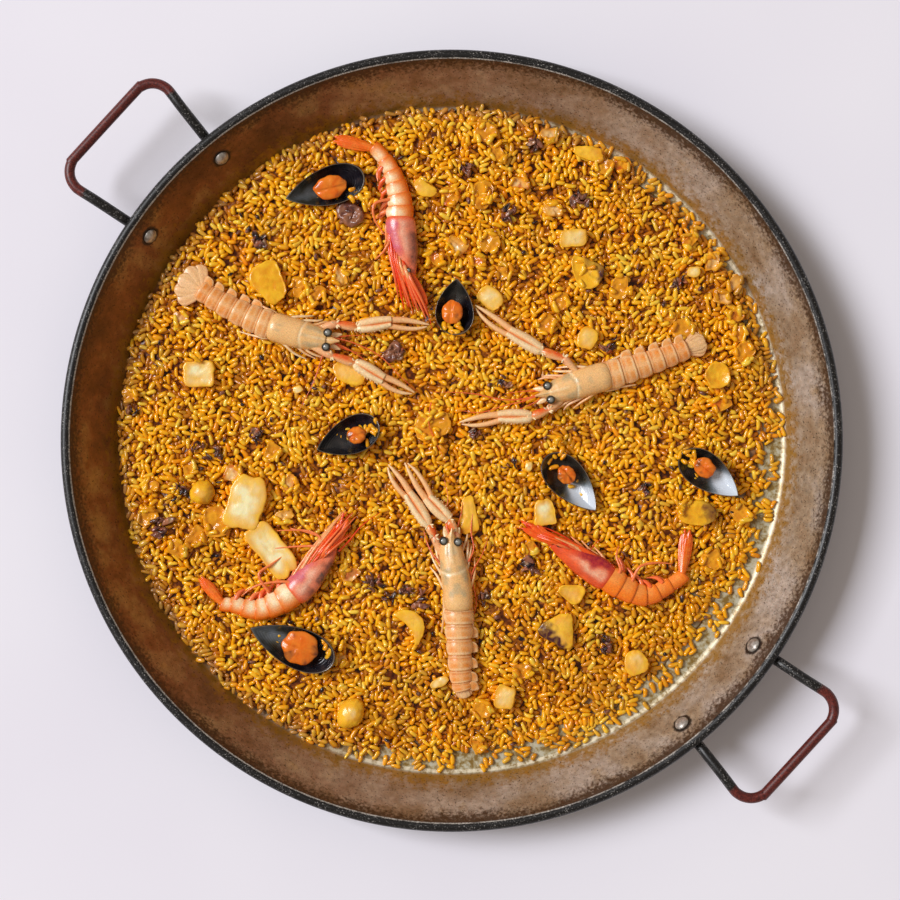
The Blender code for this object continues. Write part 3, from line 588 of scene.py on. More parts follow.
def make_pan(steel, enamel):
    """The rim and the outside are enamelled, and the inside is bare steel."""
    outside, inside = pan_profile()
    profile = np.array(outside + inside)
    angles = section_angles(PAN_STEPS)
    radii = np.repeat(profile[:, :1], PAN_STEPS, 1)
    heights = np.repeat(profile[:, 1:], PAN_STEPS, 1)
    wall = slice(len(outside) + 1, len(outside) + 13)
    radii[wall] -= 0.25 * waves(7 * np.cos(angles), 7 * np.sin(angles), heights[wall] / 22)
    rings = np.stack((radii * np.cos(angles), radii * np.sin(angles), heights), -1)
    clay = Clay()
    wear = np.zeros((len(profile), PAN_STEPS))
    # Partly worn enamel and partly painted highlight: a pale line along the inner edge of the rim, stronger
    # on the side toward the light.
    wear[len(outside) - 2:len(outside)] = 0.64 - 0.12 * np.cos(angles - FOOD_TURN)
    loft(clay, rings, wear=wear)
    bare = (len(outside) - 1) * PAN_STEPS
    clay.kinds = [0 if face < bare else 1 for face in range(len(clay.faces) - 2)] + [0, 1]
    clay.make("pan_body", [enamel, steel], "pan_enamel", ["pan"], turned=False)


def handle_path():
    """Centre points and section sizes of one half of a handle, from its tab to the outer bar."""
    offset = SHEET + TAB_GAP + TAB_THICKNESS / 2
    bead = (RIM_RADIUS - BEAD_RADIUS, RIM_HEIGHT - BEAD_RADIUS)
    flat = [wall_point(RIVET_HEIGHT - 12, offset), wall_point(RIVET_HEIGHT - 9, offset),
            wall_point(RIVET_HEIGHT - 3, offset), wall_point(RIVET_HEIGHT + 4, offset)]
    bend = [(bead[0] - 2.5, bead[1] - 9.2), (bead[0] + 5, bead[1] - 7.8),
            (bead[0] + 15, bead[1] - 3.6), (bead[0] + 33, HANDLE_HEIGHT)]
    section = [(TAB_WIDTH * 0.7, TAB_THICKNESS)] + [(TAB_WIDTH, TAB_THICKNESS)] * 3
    section += [(ROD * 1.08, ROD * 0.9)] + [(ROD, ROD)] * 3
    rivet_radius = wall_point(RIVET_HEIGHT)[0]
    path = []
    for radius, height in flat + bend:
        side = RIVET_SIDE + HANDLE_SPLAY * (radius - rivet_radius)
        path.append((sqrt(radius ** 2 - side ** 2), side, height))
    middle = HANDLE_REACH - HANDLE_CORNER
    splay = atan(HANDLE_SPLAY)
    start = middle - HANDLE_CORNER * sin(splay)
    side = RIVET_SIDE + HANDLE_SPLAY * (start - path[1][0]) - HANDLE_CORNER * cos(splay)
    for x, y in arc((middle, side), HANDLE_CORNER, pi / 2 + splay, 0, 8):
        path.append((x, y, HANDLE_HEIGHT))
        section.append((ROD, ROD))
    return path, section


def make_handle(name, finish, turn):
    path, section = handle_path()
    whole = path + [(x, -y, z) for x, y, z in reversed(path)]
    rows = 220
    line = along(whole, rows)
    sizes = along(section + section[::-1], rows)
    wear = smooth_step(line[:, 0], HANDLE_REACH - 34, HANDLE_REACH - 12)[:, None]
    rings = oval_rings(line, sizes[:, 0], sizes[:, 1], 20)
    clay = Clay()
    loft(clay, spun(rings, turn), wear=wear)
    clay.make(name + "_bar", [finish], "handle_rod", [name], turned=False)


def make_rivets(finish):
    """Domed heads inside the pan, with their tails closed behind the tabs."""
    back = SHEET + 2 * TAB_GAP + TAB_THICKNESS + RIVET_GAP
    profile = [(-RIVET_GAP - RIVET_DOME * sqrt(1 - share * share), RIVET_HEAD * share)
               for share in (0.06, 0.3, 0.55, 0.75, 0.9, 0.98, 1.0)]
    profile += [(-RIVET_GAP, 3.0), (back, 3.0), (back, 4.3), (back + 1.0, 3.9), (back + 1.6, 2.6)]
    rings = np.array([[(radius * cos(a), radius * sin(a), depth) for a in section_angles(28)]
                      for depth, radius in profile])
    for number, (end, side) in enumerate(RIVET_PLACES, 1):
        pose = np.array(rivet_matrix(side, end))
        clay = Clay()
        loft(clay, rings @ pose[:3, :3].T + pose[:3, 3] / MM)
        clay.make("rivet_head_%d" % number, [finish], "rivet_steel", ["rivet_%d" % number], turned=False)


# Rice

def thin_side(angle):
    """1 where the layer of rice thins out towards the wall, 0 on the far side of the pan."""
    wide = smooth_step(cos(angle - THIN_DIRECTION), 0.15, 0.85)
    return float(max(wide, 0.6 * smooth_step(cos(angle - SECOND_THIN_DIRECTION), 0.8, 0.97)))


def rice_edge(angle):
    """Radius of the uneven edge of the rice."""
    ragged = wave(5 * cos(angle), 5 * sin(angle))
    fine = wave(17 * cos(angle), 17 * sin(angle), 2)
    thin = thin_side(angle)
    return RICE_EDGE + (RICE_THIN_EDGE - RICE_EDGE) * thin + (1.5 + 5.0 * thin) * ragged + 5.0 * thin * fine


def sauce(x, y):
    """1 where reduced stock lies thick between the grains, 0 where the rice is dry."""
    patch = wave(x / 26, y / 26, 1.7) + 0.5 * wave(x / 9, y / 9, 6.1)
    low = smooth_step(0.3 * x - 0.95 * y, 40, 210)
    return float(smooth_step(patch + 0.35 * low, -0.1, 0.7))


def rice_level(x, y):
    """Mean height of the top of the rice."""
    angle = atan2(y, x)
    inside = rice_edge(angle) - hypot(x, y)
    thin = thin_side(angle) * (1 - smooth_step(inside, 5, 85))
    level = RICE_TOP + (RICE_THIN_TOP - RICE_TOP) * thin
    swell = RICE_SWELL * wave(x / RICE_SWELL_WIDTH, y / RICE_SWELL_WIDTH)
    return float((level + swell) - (level - SHEET) * 0.5 * (1 - smooth_step(inside, -1, 9)))


def on_rice(spot, height):
    """The point at a place in plan, so high over the rice."""
    return np.array((spot[0], spot[1], rice_level(spot[0], spot[1]) + height))


class Field:
    """A value over the plan, worked out on a square grid and read between its points."""

    def __init__(self, rule, reach=285.0, step=3.0):
        self.reach = reach
        self.step = step
        ticks = np.arange(-reach, reach + step / 2, step)
        self.values = np.array([[rule(x, y) for y in ticks] for x in ticks], float)

    def __call__(self, x, y):
        limit = len(self.values) - 1.001
        u = np.clip((x + self.reach) / self.step, 0, limit)
        v = np.clip((y + self.reach) / self.step, 0, limit)
        i, j = u.astype(int), v.astype(int)
        u, v = u - i, v - j
        values = self.values
        near = values[i, j] * (1 - v) + values[i, j + 1] * v
        far = values[i + 1, j] * (1 - v) + values[i + 1, j + 1] * v
        return near * (1 - u) + far * u


def near_pairs(points, reach):
    """Pairs of points that are closer than reach, found through a grid of cells."""
    cells = np.floor((points - points.min(0)) / reach).astype(np.int64) + 1
    size = cells.max(0) + 2
    keys = (cells[:, 0] * size[1] + cells[:, 1]) * size[2] + cells[:, 2]
    order = np.argsort(keys, kind="stable")
    ranked = keys[order]
    steps = [(dx, dy, dz) for dx in (-1, 0, 1) for dy in (-1, 0, 1) for dz in (-1, 0, 1)]
    found = []
    for dx, dy, dz in steps[13:]:
        wanted = keys + (dx * size[1] + dy) * size[2] + dz
        start = np.searchsorted(ranked, wanted, "left")
        end = np.searchsorted(ranked, wanted, "right")
        for extra in range(int((end - start).max())):
            first = np.nonzero(start + extra < end)[0]
            second = order[start[first] + extra]
            if (dx, dy, dz) == (0, 0, 0):
                keep = first < second
                first, second = first[keep], second[keep]
            found.append(np.column_stack((first, second)))
    pairs = np.concatenate(found)
    apart = np.linalg.norm(points[pairs[:, 0]] - points[pairs[:, 1]], axis=1)
    return pairs[apart < reach]


GRAIN_ARM = 2.2
GRAIN_BEADS = np.array((1.5, 1.7, 1.5))
GRAIN_ROWS = np.array((-0.8, -0.36, 0.36, 0.8))
GRAIN_SWELL = np.array((0.8, 1.0, 1.0, 0.8))
GRAIN_SIDES = 6
GRAIN_POINTS = len(GRAIN_ROWS) * GRAIN_SIDES + 2

# How the grains settle: reach of the search for pairs, and shares moved at each step
PAIR_REACH = 4.6
PUSH_SHARE = 0.36
FALL = 0.14
PRESS_SHARE = 0.35

# Cells in which the grains are looked down on, and how many there are along each side
VIEW_CELL = 0.8
VIEW_CELLS = 800
VIEW_REACH = 300


def grain_beads(spots, heads):
    """Centres of the three beads that stand for each grain."""
    return spots[:, None] + heads[:, None] * np.array((-GRAIN_ARM, 0, GRAIN_ARM))[:, None]


def topping_tree():
    """The solids that lie on the rice, in the food's own frame, for the grains to lie against."""
    corners, faces = [], []
    count = 0
    for name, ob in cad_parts.items():
        if name.startswith(("pan", "handle", "rivet", "rice")):
            continue
        mesh = ob.data
        points = np.empty(len(mesh.vertices) * 3, np.float32)
        mesh.vertices.foreach_get("co", points)
        points = spun(points.reshape(-1, 3), -FOOD_TURN) / MM
        corners += [Vector(point) for point in points]
        faces += [[count + index for index in face.vertices] for face in mesh.polygons]
        count += len(points)
    return BVHTree.FromPolygons(corners, faces)


def first_grains(rng, level, base):
    """Grains strewn in two loose layers over the stock, fewer where the rice thins out."""
    spots, heads = [], []
    for layer in (0, 1):
        for row in range(int(2 * STREWN_TO / (GRAIN_SPACING * ROW_RATIO))):
            for column in range(int(2 * STREWN_TO / GRAIN_SPACING)):
                x = -STREWN_TO + (column + 0.5 * (row % 2) + 0.5 * layer) * GRAIN_SPACING
                y = -STREWN_TO + row * GRAIN_SPACING * ROW_RATIO
                x, y = np.array((x, y)) + rng.uniform(-1.9, 1.9, 2)
                draw, turn, tilt, lift = rng.uniform(0, 1, 4)
                angle = atan2(y, x)
                inside = rice_edge(angle) - hypot(x, y)
                thin = thin_side(angle)
                if inside < 1.0 - 9.0 * thin:
                    continue
                gaps = thin * (1 - smooth_step(inside, -4, 24)) * (0.5 + 1.8 * wave(x / 12, y / 12, 3))
                pit = smooth_step(wave(x / 5.5, y / 5.5, 12.5), 0.1, 0.35) * (1 - 0.7 * sauce(x, y))
                depth = level(x, y) - SHEET
                chance = 1 - gaps - 0.35 * pit
                if layer == 1:
                    chance = smooth_step(depth, 3.0, 6.2) - 0.6 * gaps - pit
                if draw > chance:
                    continue
                spots.append((x, y, base(x, y) + 1.9 + 3.4 * layer + 0.8 * lift))
                tilt = asin((tilt - 0.5) * 1.7) * float(smooth_step(depth, 2.0, 7.0))
                heads.append(pointing(turn * tau, tilt))
    return np.array(spots), np.array(heads)


def settle(spots, heads, level, base, toppings, steps):
    """Let the grains push each other apart and down until they lie as poured rice does.

    Each grain is a rod of three beads. Beads that overlap move apart, and the rod follows them.
    """
    count = len(spots)
    radii = np.tile(GRAIN_BEADS, count)
    for step in range(steps):
        beads = grain_beads(spots, heads).reshape(-1, 3)
        if step % 7 == 0:
            pairs = near_pairs(beads, PAIR_REACH)
            pairs = pairs[pairs[:, 0] // 3 != pairs[:, 1] // 3]
            first, second = pairs[:, 0], pairs[:, 1]
            want = radii[first] + radii[second]
        apart = beads[first] - beads[second]
        gap = np.linalg.norm(apart, axis=1) + 1e-6
        push = apart / gap[:, None] * (np.clip(want - gap, 0, None) * PUSH_SHARE)[:, None]
        for axis in range(3):
            beads[:, axis] += (np.bincount(first, push[:, axis], count * 3)
                               - np.bincount(second, push[:, axis], count * 3))
        beads[:, 2] -= FALL * (1 - step / steps)
        if step % 7 == 3 or step == steps - 1:
            for index, bead in enumerate(beads):
                spot, normal = toppings.find_nearest(Vector(bead), 3.0)[:2]
                if spot is None:
                    continue
                depth = (Vector(bead) - spot).dot(normal)
                if depth < radii[index]:
                    away = normal if depth < 0 else (Vector(bead) - spot).normalized()
                    beads[index] = spot + away * radii[index] * 0.96
        over = np.hypot(beads[:, 0], beads[:, 1])
        room = wall_point(beads[:, 2])[0] - radii
        squeeze = np.minimum(1.0, room / over)
        beads[:, :2] *= squeeze[:, None]
        top = level(beads[:, 0], beads[:, 1]) + 1.5 - radii
        beads[:, 2] -= np.clip(beads[:, 2] - top, 0, None) * PRESS_SHARE
        beads[:, 2] = np.maximum(beads[:, 2], base(beads[:, 0], beads[:, 1]) + radii * 0.94)
        rods = beads.reshape(count, 3, 3)
        spots = rods.mean(1)
        heads = rods[:, 2] - rods[:, 0]
        heads[:, 2] = np.clip(heads[:, 2], -4.2, 4.2)
        heads = unit(heads)
    return spots, heads


def seen_from_above(spots, heads):
    """Which grains show between the others; the buried ones are left out."""
    steps = np.array([(x, y) for x in (-VIEW_CELL, 0, VIEW_CELL) for y in (-VIEW_CELL, 0, VIEW_CELL)])
    rise = np.sqrt(GRAIN_BEADS[:, None] ** 2 - (steps ** 2).sum(1))
    beads = grain_beads(spots, heads)[:, :, None]
    tops = beads[..., 2] + rise
    cells = np.round((beads[..., :2] + steps + VIEW_REACH) / VIEW_CELL).astype(int)
    cells = cells[..., 0], cells[..., 1]
    highest = np.full((VIEW_CELLS, VIEW_CELLS), -99.0)
    np.maximum.at(highest, cells, tops)
    shown = tops > highest[cells] - 0.5
    return shown.sum((1, 2)) >= 2


def clear_of(toppings, spots, heads):
    """Which grains stay out of the toppings."""
    keep = np.ones(len(spots), bool)
    for index, beads in enumerate(grain_beads(spots, heads)):
        for bead in map(Vector, beads):
            found, normal = toppings.find_nearest(bead, 6.0)[:2]
            if found is not None and (bead - found).dot(normal) < -0.2:
                keep[index] = False
                break
    return keep


def grain_points(rng, spots, heads):
    """Points of plump, slightly bent grains, no two alike, and the faces of one grain."""
    count = len(spots)
    angles = section_angles(GRAIN_SIDES)
    length = GRAIN_LENGTH / 2 * rng.normal(1.0, 0.15, count).clip(0.6, 1.28)
    width = GRAIN_WIDTH / 2 * rng.normal(1.0, 0.1, count).clip(0.76, 1.25)
    taper = rng.uniform(-0.3, 0.3, count)
    bend = rng.normal(0.0, 0.8, count).clip(-1.9, 1.9)
    roll = rng.uniform(0, tau, count)
    across = unit(np.cross(heads, (0, 0, 1.0)))
    upward = np.cross(across, heads)
    side = across * np.cos(roll)[:, None] + upward * np.sin(roll)[:, None]
    other = -across * np.sin(roll)[:, None] + upward * np.cos(roll)[:, None]
    local = np.empty((count, GRAIN_POINTS, 3))
    local[:, 0] = np.column_stack((-length, bend * 0.7, np.zeros(count)))
    local[:, -1] = np.column_stack((length, bend * 0.7, np.zeros(count)))
    for row, (step, swell) in enumerate(zip(GRAIN_ROWS, GRAIN_SWELL)):
        thick = width * swell * (1 + taper * step)
        for corner, angle in enumerate(angles):
            local[:, 1 + row * GRAIN_SIDES + corner] = np.column_stack(
                (length * step, bend * (step * step - 0.3) + thick * cos(angle),
                 thick * 0.9 * sin(angle)))
    points = (spots[:, None] + heads[:, None] * local[..., 0:1] + side[:, None] * local[..., 1:2]
              + other[:, None] * local[..., 2:3])
    faces = []
    last = GRAIN_POINTS - 1
    for corner in range(GRAIN_SIDES):
        after = (corner + 1) % GRAIN_SIDES
        faces.append((0, 1 + after, 1 + corner))
        faces.append((last, last - GRAIN_SIDES + corner, last - GRAIN_SIDES + after))
        for row in range(len(GRAIN_ROWS) - 1):
            near = 1 + row * GRAIN_SIDES
            far = near + GRAIN_SIDES
            faces.append((near + corner, near + after, far + after))
            faces.append((near + corner, far + after, far + corner))
    return points, np.array(faces)


def grain_mesh(name, points, faces, masks, finish):
    """One mesh of many grains, filled straight from arrays."""
    count = len(points)
    corners = (spun(points.reshape(-1, 3), FOOD_TURN) * MM).astype(np.float32)
    loops = (faces[None] + (np.arange(count) * GRAIN_POINTS)[:, None, None]).reshape(-1).astype(np.int32)
    mesh = bpy.data.meshes.new(name)
    mesh.vertices.add(len(corners))
    mesh.vertices.foreach_set("co", corners.ravel())
    mesh.loops.add(len(loops))
    mesh.loops.foreach_set("vertex_index", loops)
    mesh.polygons.add(len(loops) // 3)
    mesh.polygons.foreach_set("loop_start", np.arange(0, len(loops), 3, dtype=np.int32))
    mesh.update(calc_edges=True)
    mesh.validate()
    for mask, values in masks.items():
        spread = np.repeat(values, GRAIN_POINTS).astype(np.float32)
        mesh.attributes.new(mask, "FLOAT", "POINT").data.foreach_set("value", spread)
    mesh.materials.append(finish)
    mesh.shade_smooth()
    return place(name, mesh, "rice", ["rice"])


def make_core(base, stock):
    """The lower rice and the stock it lies in, as one body under the loose grains; its dark brown is partly
    the stock's own colour and partly painted shade for the gaps between the grains.
    """
    rings, columns = 96, 260
    angles = section_angles(columns)
    thin = np.array([thin_side(angle) for angle in angles])
    ragged = 1 + waves(9 * np.cos(angles), 9 * np.sin(angles), 5)
    edges = np.array([rice_edge(angle) for angle in angles]) - 2.0 - 7.0 * thin * ragged
    shares = np.linspace(1.0, 0.004, rings)[:, None]
    x = shares * edges * np.cos(angles)
    y = shares * edges * np.sin(angles)
    tops = np.maximum(base(x, y) + 0.9, SHEET + 0.3)
    tops += 2.6 * Field(sauce)(x, y) * smooth_step(tops, SHEET + 1, SHEET + 4)
    tops = np.maximum(tops + 0.5 * waves(x / 4, y / 4, 8), SHEET + 0.25)
    tops[0] = SHEET + 0.1
    floor = np.stack((x[0] * 0.998, y[0] * 0.998, np.full(columns, SHEET + 0.02)), -1)[None]
    bare = 1 - smooth_step(tops, SHEET + 0.3, SHEET + 1.6)
    bare *= smooth_step(thin, 0.05, 0.4) * smooth_step(waves(x / 13, y / 13, 3), -0.3, 0.1)
    clay = Clay()
    points = np.concatenate((floor, np.stack((x, y, tops), -1)))
    loft(clay, points, bare=np.concatenate((bare[:1], bare)))
    clay.make("rice_core", [stock], "rice", ["rice"])


# Grains that lie on or in other pieces: place in plan, reach, number and height over the rice
STRAYS = [
    ((-69, 190), 9, 14, 7.5),
    ((1, 86), 9, 14, 7.0),
    ((-61, 9), 7, 12, 5.5),
    ((80, -13), 8, 8, 6.5),
    ((185, -12), 7, 10, 6.5),
    ((-97, -160), 7, 11, 7.0),
    ((180, -50), 7, 10, 6.5),
    ((-197, 63), 3, 2, 8.5),
    ((-14, 20), 9, 8, 4.6),
    ((24, 192), 9, 7, 4.2),
    ((104, 130), 10, 5, 4.6),
    ((-14, 5), 12, 6, 4.4),
]


def stray_grains(rng):
    """Loose grains that ended up on mussels and other pieces."""
    spots, heads = [], []
    for centre, reach, count, height in STRAYS:
        for index in range(count):
            spot = np.array(centre) + rng.normal(0, reach * 0.55, 2)
            spots.append(on_rice(spot, height + rng.uniform(-2.2, 1.2)))
            heads.append(pointing(rng.uniform(0, tau), rng.uniform(-0.5, 0.5)))
    edges = [(*piece[0], (piece[1] + piece[2]) / 2, 4.0) for piece in ONION]
    edges += [(x, y, size, 3.0) for x, y, size in ONION_SCRAPS]
    for x, y, size, height in edges:
        for index in range(5):
            turn, tilt = rng.uniform(0, tau), rng.uniform(-0.3, 0.3)
            reach = size * rng.uniform(0.36, 0.56)
            spot = x + reach * cos(turn), y + reach * sin(turn)
            spots.append(on_rice(spot, height + rng.uniform(-0.8, 0.3)))
            heads.append(pointing(turn + rng.uniform(0.8, 2.3), tilt))
    return np.array(spots), np.array(heads)


def make_rice(finish, stock):
    rng = np.random.default_rng(11)
    level = Field(rice_level)
    base = Field(lambda x, y: max(rice_level(x, y) - LAYER_DEPTH, SHEET))
    toppings = topping_tree()
    make_core(base, stock)
    spots, heads = first_grains(rng, level, base)
    steps = 48
    crown = Field(lambda x, y: rice_level(x, y) + 3.2 * wave(x / 7, y / 7, 4.4))
    spots, heads = settle(spots, heads, crown, base, toppings, steps)
    held = rng.random(len(spots)) > GRAIN_GAPS
    spots, heads = spots[held], heads[held]
    keep = clear_of(toppings, spots, heads) & seen_from_above(spots, heads)
    extra_spots, extra_heads = stray_grains(rng)
    spots = np.concatenate((spots[keep], extra_spots))
    heads = np.concatenate((heads[keep], extra_heads))
    points, faces = grain_points(rng, spots, heads)
    count = len(spots)
    x, y, z = spots.T
    tint = rng.normal(0.38, 0.09, count) + 0.16 * waves(x / 14, y / 14, 7.7)
    # Painted shade: grains that lie deep below the top of the rice are browned like the sauce.
    sunk_shade = 0.8 * smooth_step(level(x, y) - z, 3.0, 5.2)
    wet = np.array([sauce(*spot) for spot in spots[:, :2]]) * rng.uniform(0.15, 0.6, count)
    glaze = np.maximum(sunk_shade, wet)
    angles = np.arctan2(y, x)
    inside = np.array([rice_edge(angle) for angle in angles]) - np.hypot(x, y)
    thick = 1 - np.array([thin_side(angle) for angle in angles])
    toast = (1 - smooth_step(inside, 1, 15)) * thick * rng.uniform(0.0, 1.0, count)
    for number in range(ceil(count / GRAINS_IN_A_PIECE)):
        part = slice(number * GRAINS_IN_A_PIECE, (number + 1) * GRAINS_IN_A_PIECE)
        grain_mesh("rice_grains_%d" % (number + 1), points[part], faces,
                   {"tint": tint[part], "glaze": glaze[part], "toast": toast[part]}, finish)
    print("grains", count)


# Shellfish

def body_rows(spine, stations, rows):
    """Centre line, widths and heights of a body, read between its stations."""
    shares = np.array([station[0] for station in stations])
    places = np.linspace(0.0, shares[-1], rows)
    spine = flat_line(spine)
    path = np.array([through(spine, share) for share in places])
    widths, heights, undersides = (
        np.interp(places, shares, [station[row] for station in stations]) for row in (1, 2, 3))
    kernel = np.array((1, 2, 3, 2, 1)) / 9
    widths, heights, undersides = (
        np.convolve(np.pad(values, 2, mode="edge"), kernel, "valid")
        for values in (widths, heights, undersides))
    ground = np.array([rice_level(*spot[:2]) for spot in path])
    path[:, 2] = ground - SEAFOOD_SINK + undersides + heights / 2
    return places, path, widths, heights


def plates(clay, spine, start, end, count, widths, heights, belly=0.0, sides=30, cream=1.0):
    """Overlapping rings of shell over the abdomen, each with a raised rear lip.

    belly is 1 or -1 where the animal lies on its side, and 0 where it lies on its belly. cream
    is how pale the rings are towards the belly.
    """
    spine = flat_line(spine)
    pitch = (end - start) / count
    if belly == 0:
        profile = [(-0.10, 0.86), (0.0, 0.93), (0.07, 0.965), (0.16, 0.975), (0.24, 0.955), (0.30, 0.985),
                   (0.45, 1.0), (0.62, 1.01), (0.8, 1.012), (0.94, 1.015), (1.02, 1.0), (1.05, 0.95)]
    else:
        profile = [(-0.12, 0.9), (0.0, 0.955), (0.12, 0.98), (0.3, 1.0), (0.5, 1.01), (0.7, 1.015),
                   (0.85, 1.02), (0.93, 1.022), (0.98, 1.015), (1.03, 1.0), (1.06, 0.94)]
    angles = section_angles(sides)
    cosine = np.cos(angles)
    toward = cosine * belly
    steps = np.array([step for step, scale in profile])
    scales = np.array([scale * (1 - 0.055 * step) for step, scale in profile])
    middle = np.clip(np.sin(np.clip(steps, 0, 1) * pi), 0, 1)[:, None] ** 0.7
    for index in range(count):
        share = index / (count - 1)
        width = widths[0] + (widths[1] - widths[0]) * share
        height = heights[0] + (heights[1] - heights[0]) * share
        path = np.array([on_rice(through(spine, start + (index + step) * pitch), height / 2 - SEAFOOD_SINK)
                         for step in steps])
        if belly == 0:
            lobe = smooth_step(np.abs(cosine), 0.72, 1.0) * middle
            outward = np.sign(cosine)
            # Painted highlights: the pale on the raised ridges across each ring and in the stripe down the
            # middle of the back stands for light caught by the shell.
            ridge = bell(steps, 0.16, 0.05) + 0.8 * bell(steps, 0.42, 0.07)
            keel = bell(cosine, 0.0, 0.16) * (np.sin(angles) > 0)
            pale = np.maximum(0.75 * lobe, (0.5 * ridge + 0.8 * bell(steps, 0.96, 0.06))[:, None])
            pale = np.maximum(pale, 0.45 * keel)
            dark = bell(steps, 0.0, 0.08) + 0.4 * bell(steps, 0.25, 0.05)
            warm = 0.45 + 0.35 * share + 0.35 * np.abs(cosine)
            red = 0.0
        else:
            lobe = smooth_step(toward, 0.6, 1.0) * middle
            outward = belly
            pale = 1.3 * cream * smooth_step(toward, -0.75, 0.3) * bell(steps, 0.4, 0.42)[:, None]
            dark = 0.6 * bell(steps, 1.0, 0.035) + 0.5 * bell(steps, -0.05, 0.06)
            warm = 0.3 + 0.7 * smooth_step(-toward, -0.35, 0.8) + 0.4 * (1 - cream) + 0.15 * share
            warm = warm + 0.5 * bell(steps, 0.9, 0.14)[:, None]
            red = (0.4 + 0.3 * share) * smooth_step(-toward, 0.5, 1.0)
        rings = oval_rings(path, width * scales, height * scales, sides)
        rings += level_frame(path)[0][:, None] * (lobe * outward * width * 0.055)[..., None]
        loft(clay, rings, warm=warm, pale=pale * (1 - 0.25 * share), dark=dark[:, None], red=red)


def side_lobes(clay, spine, start, end, count, widths, side):
    """Pointed round lobes that hang down the side of each ring, one past the next."""
    spine = flat_line(spine)
    pitch = (end - start) / count
    rows, sides = 12, 14
    steps = np.linspace(0, 1, rows)
    edge = smooth_step(steps, 0.55, 0.95)[:, None]
    rim = smooth_step(np.abs(np.cos(section_angles(sides))), 0.6, 0.95)
    shape = np.interp(steps, np.linspace(0, 1, 6), (6.5, 9.0, 10.0, 9.0, 6.0, 1.4))
    for index in range(1, count):
        share = index / (count - 1)
        width = widths[0] + (widths[1] - widths[0]) * share
        root = through(spine, start + (index + 0.42) * pitch)
        ahead = unit(through(spine, start + (index + 0.6) * pitch) - root)
        across = left_of(ahead) * -side
        root = on_rice(root + across * width * 0.36, 5.5)
        tip = root + across * (7.8 - 1.6 * share) + ahead * 6.0
        tip[2] -= 2.6
        path = root + (tip - root) * steps[:, None]
        rings = oval_rings(path, shape * (1 - 0.22 * share), np.full(rows, 1.5), sides)
        loft(clay, rings, warm=0.7, pale=0.6 * np.maximum(edge, rim), dark=0.0)


def fan_blade(clay, root, direction, turn, length, width, lift=0.0, pointed=False, **masks):
    """One flat blade of the tail fan: oblong with a raised middle rib, and round or pointed."""
    turned = spun(direction, turn)
    side = left_of(turned)
    rows, sides = 18, 16
    steps = np.linspace(0, 1, rows)
    outline = np.interp(steps, (0, 0.12, 0.4, 0.75, 0.9, 1.0), (0.36, 0.5, 0.86, 1.0, 0.84, 0.3))
    if pointed:
        outline = np.interp(steps, (0, 0.2, 0.5, 0.78, 0.92, 1.0), (0.55, 0.85, 1.0, 0.8, 0.45, 0.1))
    thick = np.interp(steps, (0, 0.3, 1.0), (2.6, 2.0, 0.9))
    across, upward = np.cos(section_angles(sides)), np.sin(section_angles(sides))
    rib = 0.6 * bell(across, 0.0, 0.2) * (upward > 0)
    rings = []
    for step, wide, high in zip(steps, outline, thick):
        centre = root + turned * length * step + np.array((0, 0, lift - 0.8 * step * step))
        rings.append(centre + np.outer(across * width / 2 * wide, side)
                     + np.outer(upward * high / 2 + rib, (0, 0, 1.0)))
    crease = bell(np.abs(across), 0.5, 0.12)
    rim = smooth_step(np.abs(across), 0.75, 1.0)
    strength = 0.2 if pointed else 1.0
    loft(clay, rings, dark=strength * np.maximum(0.45 * crease, 0.5 * rim), **masks)


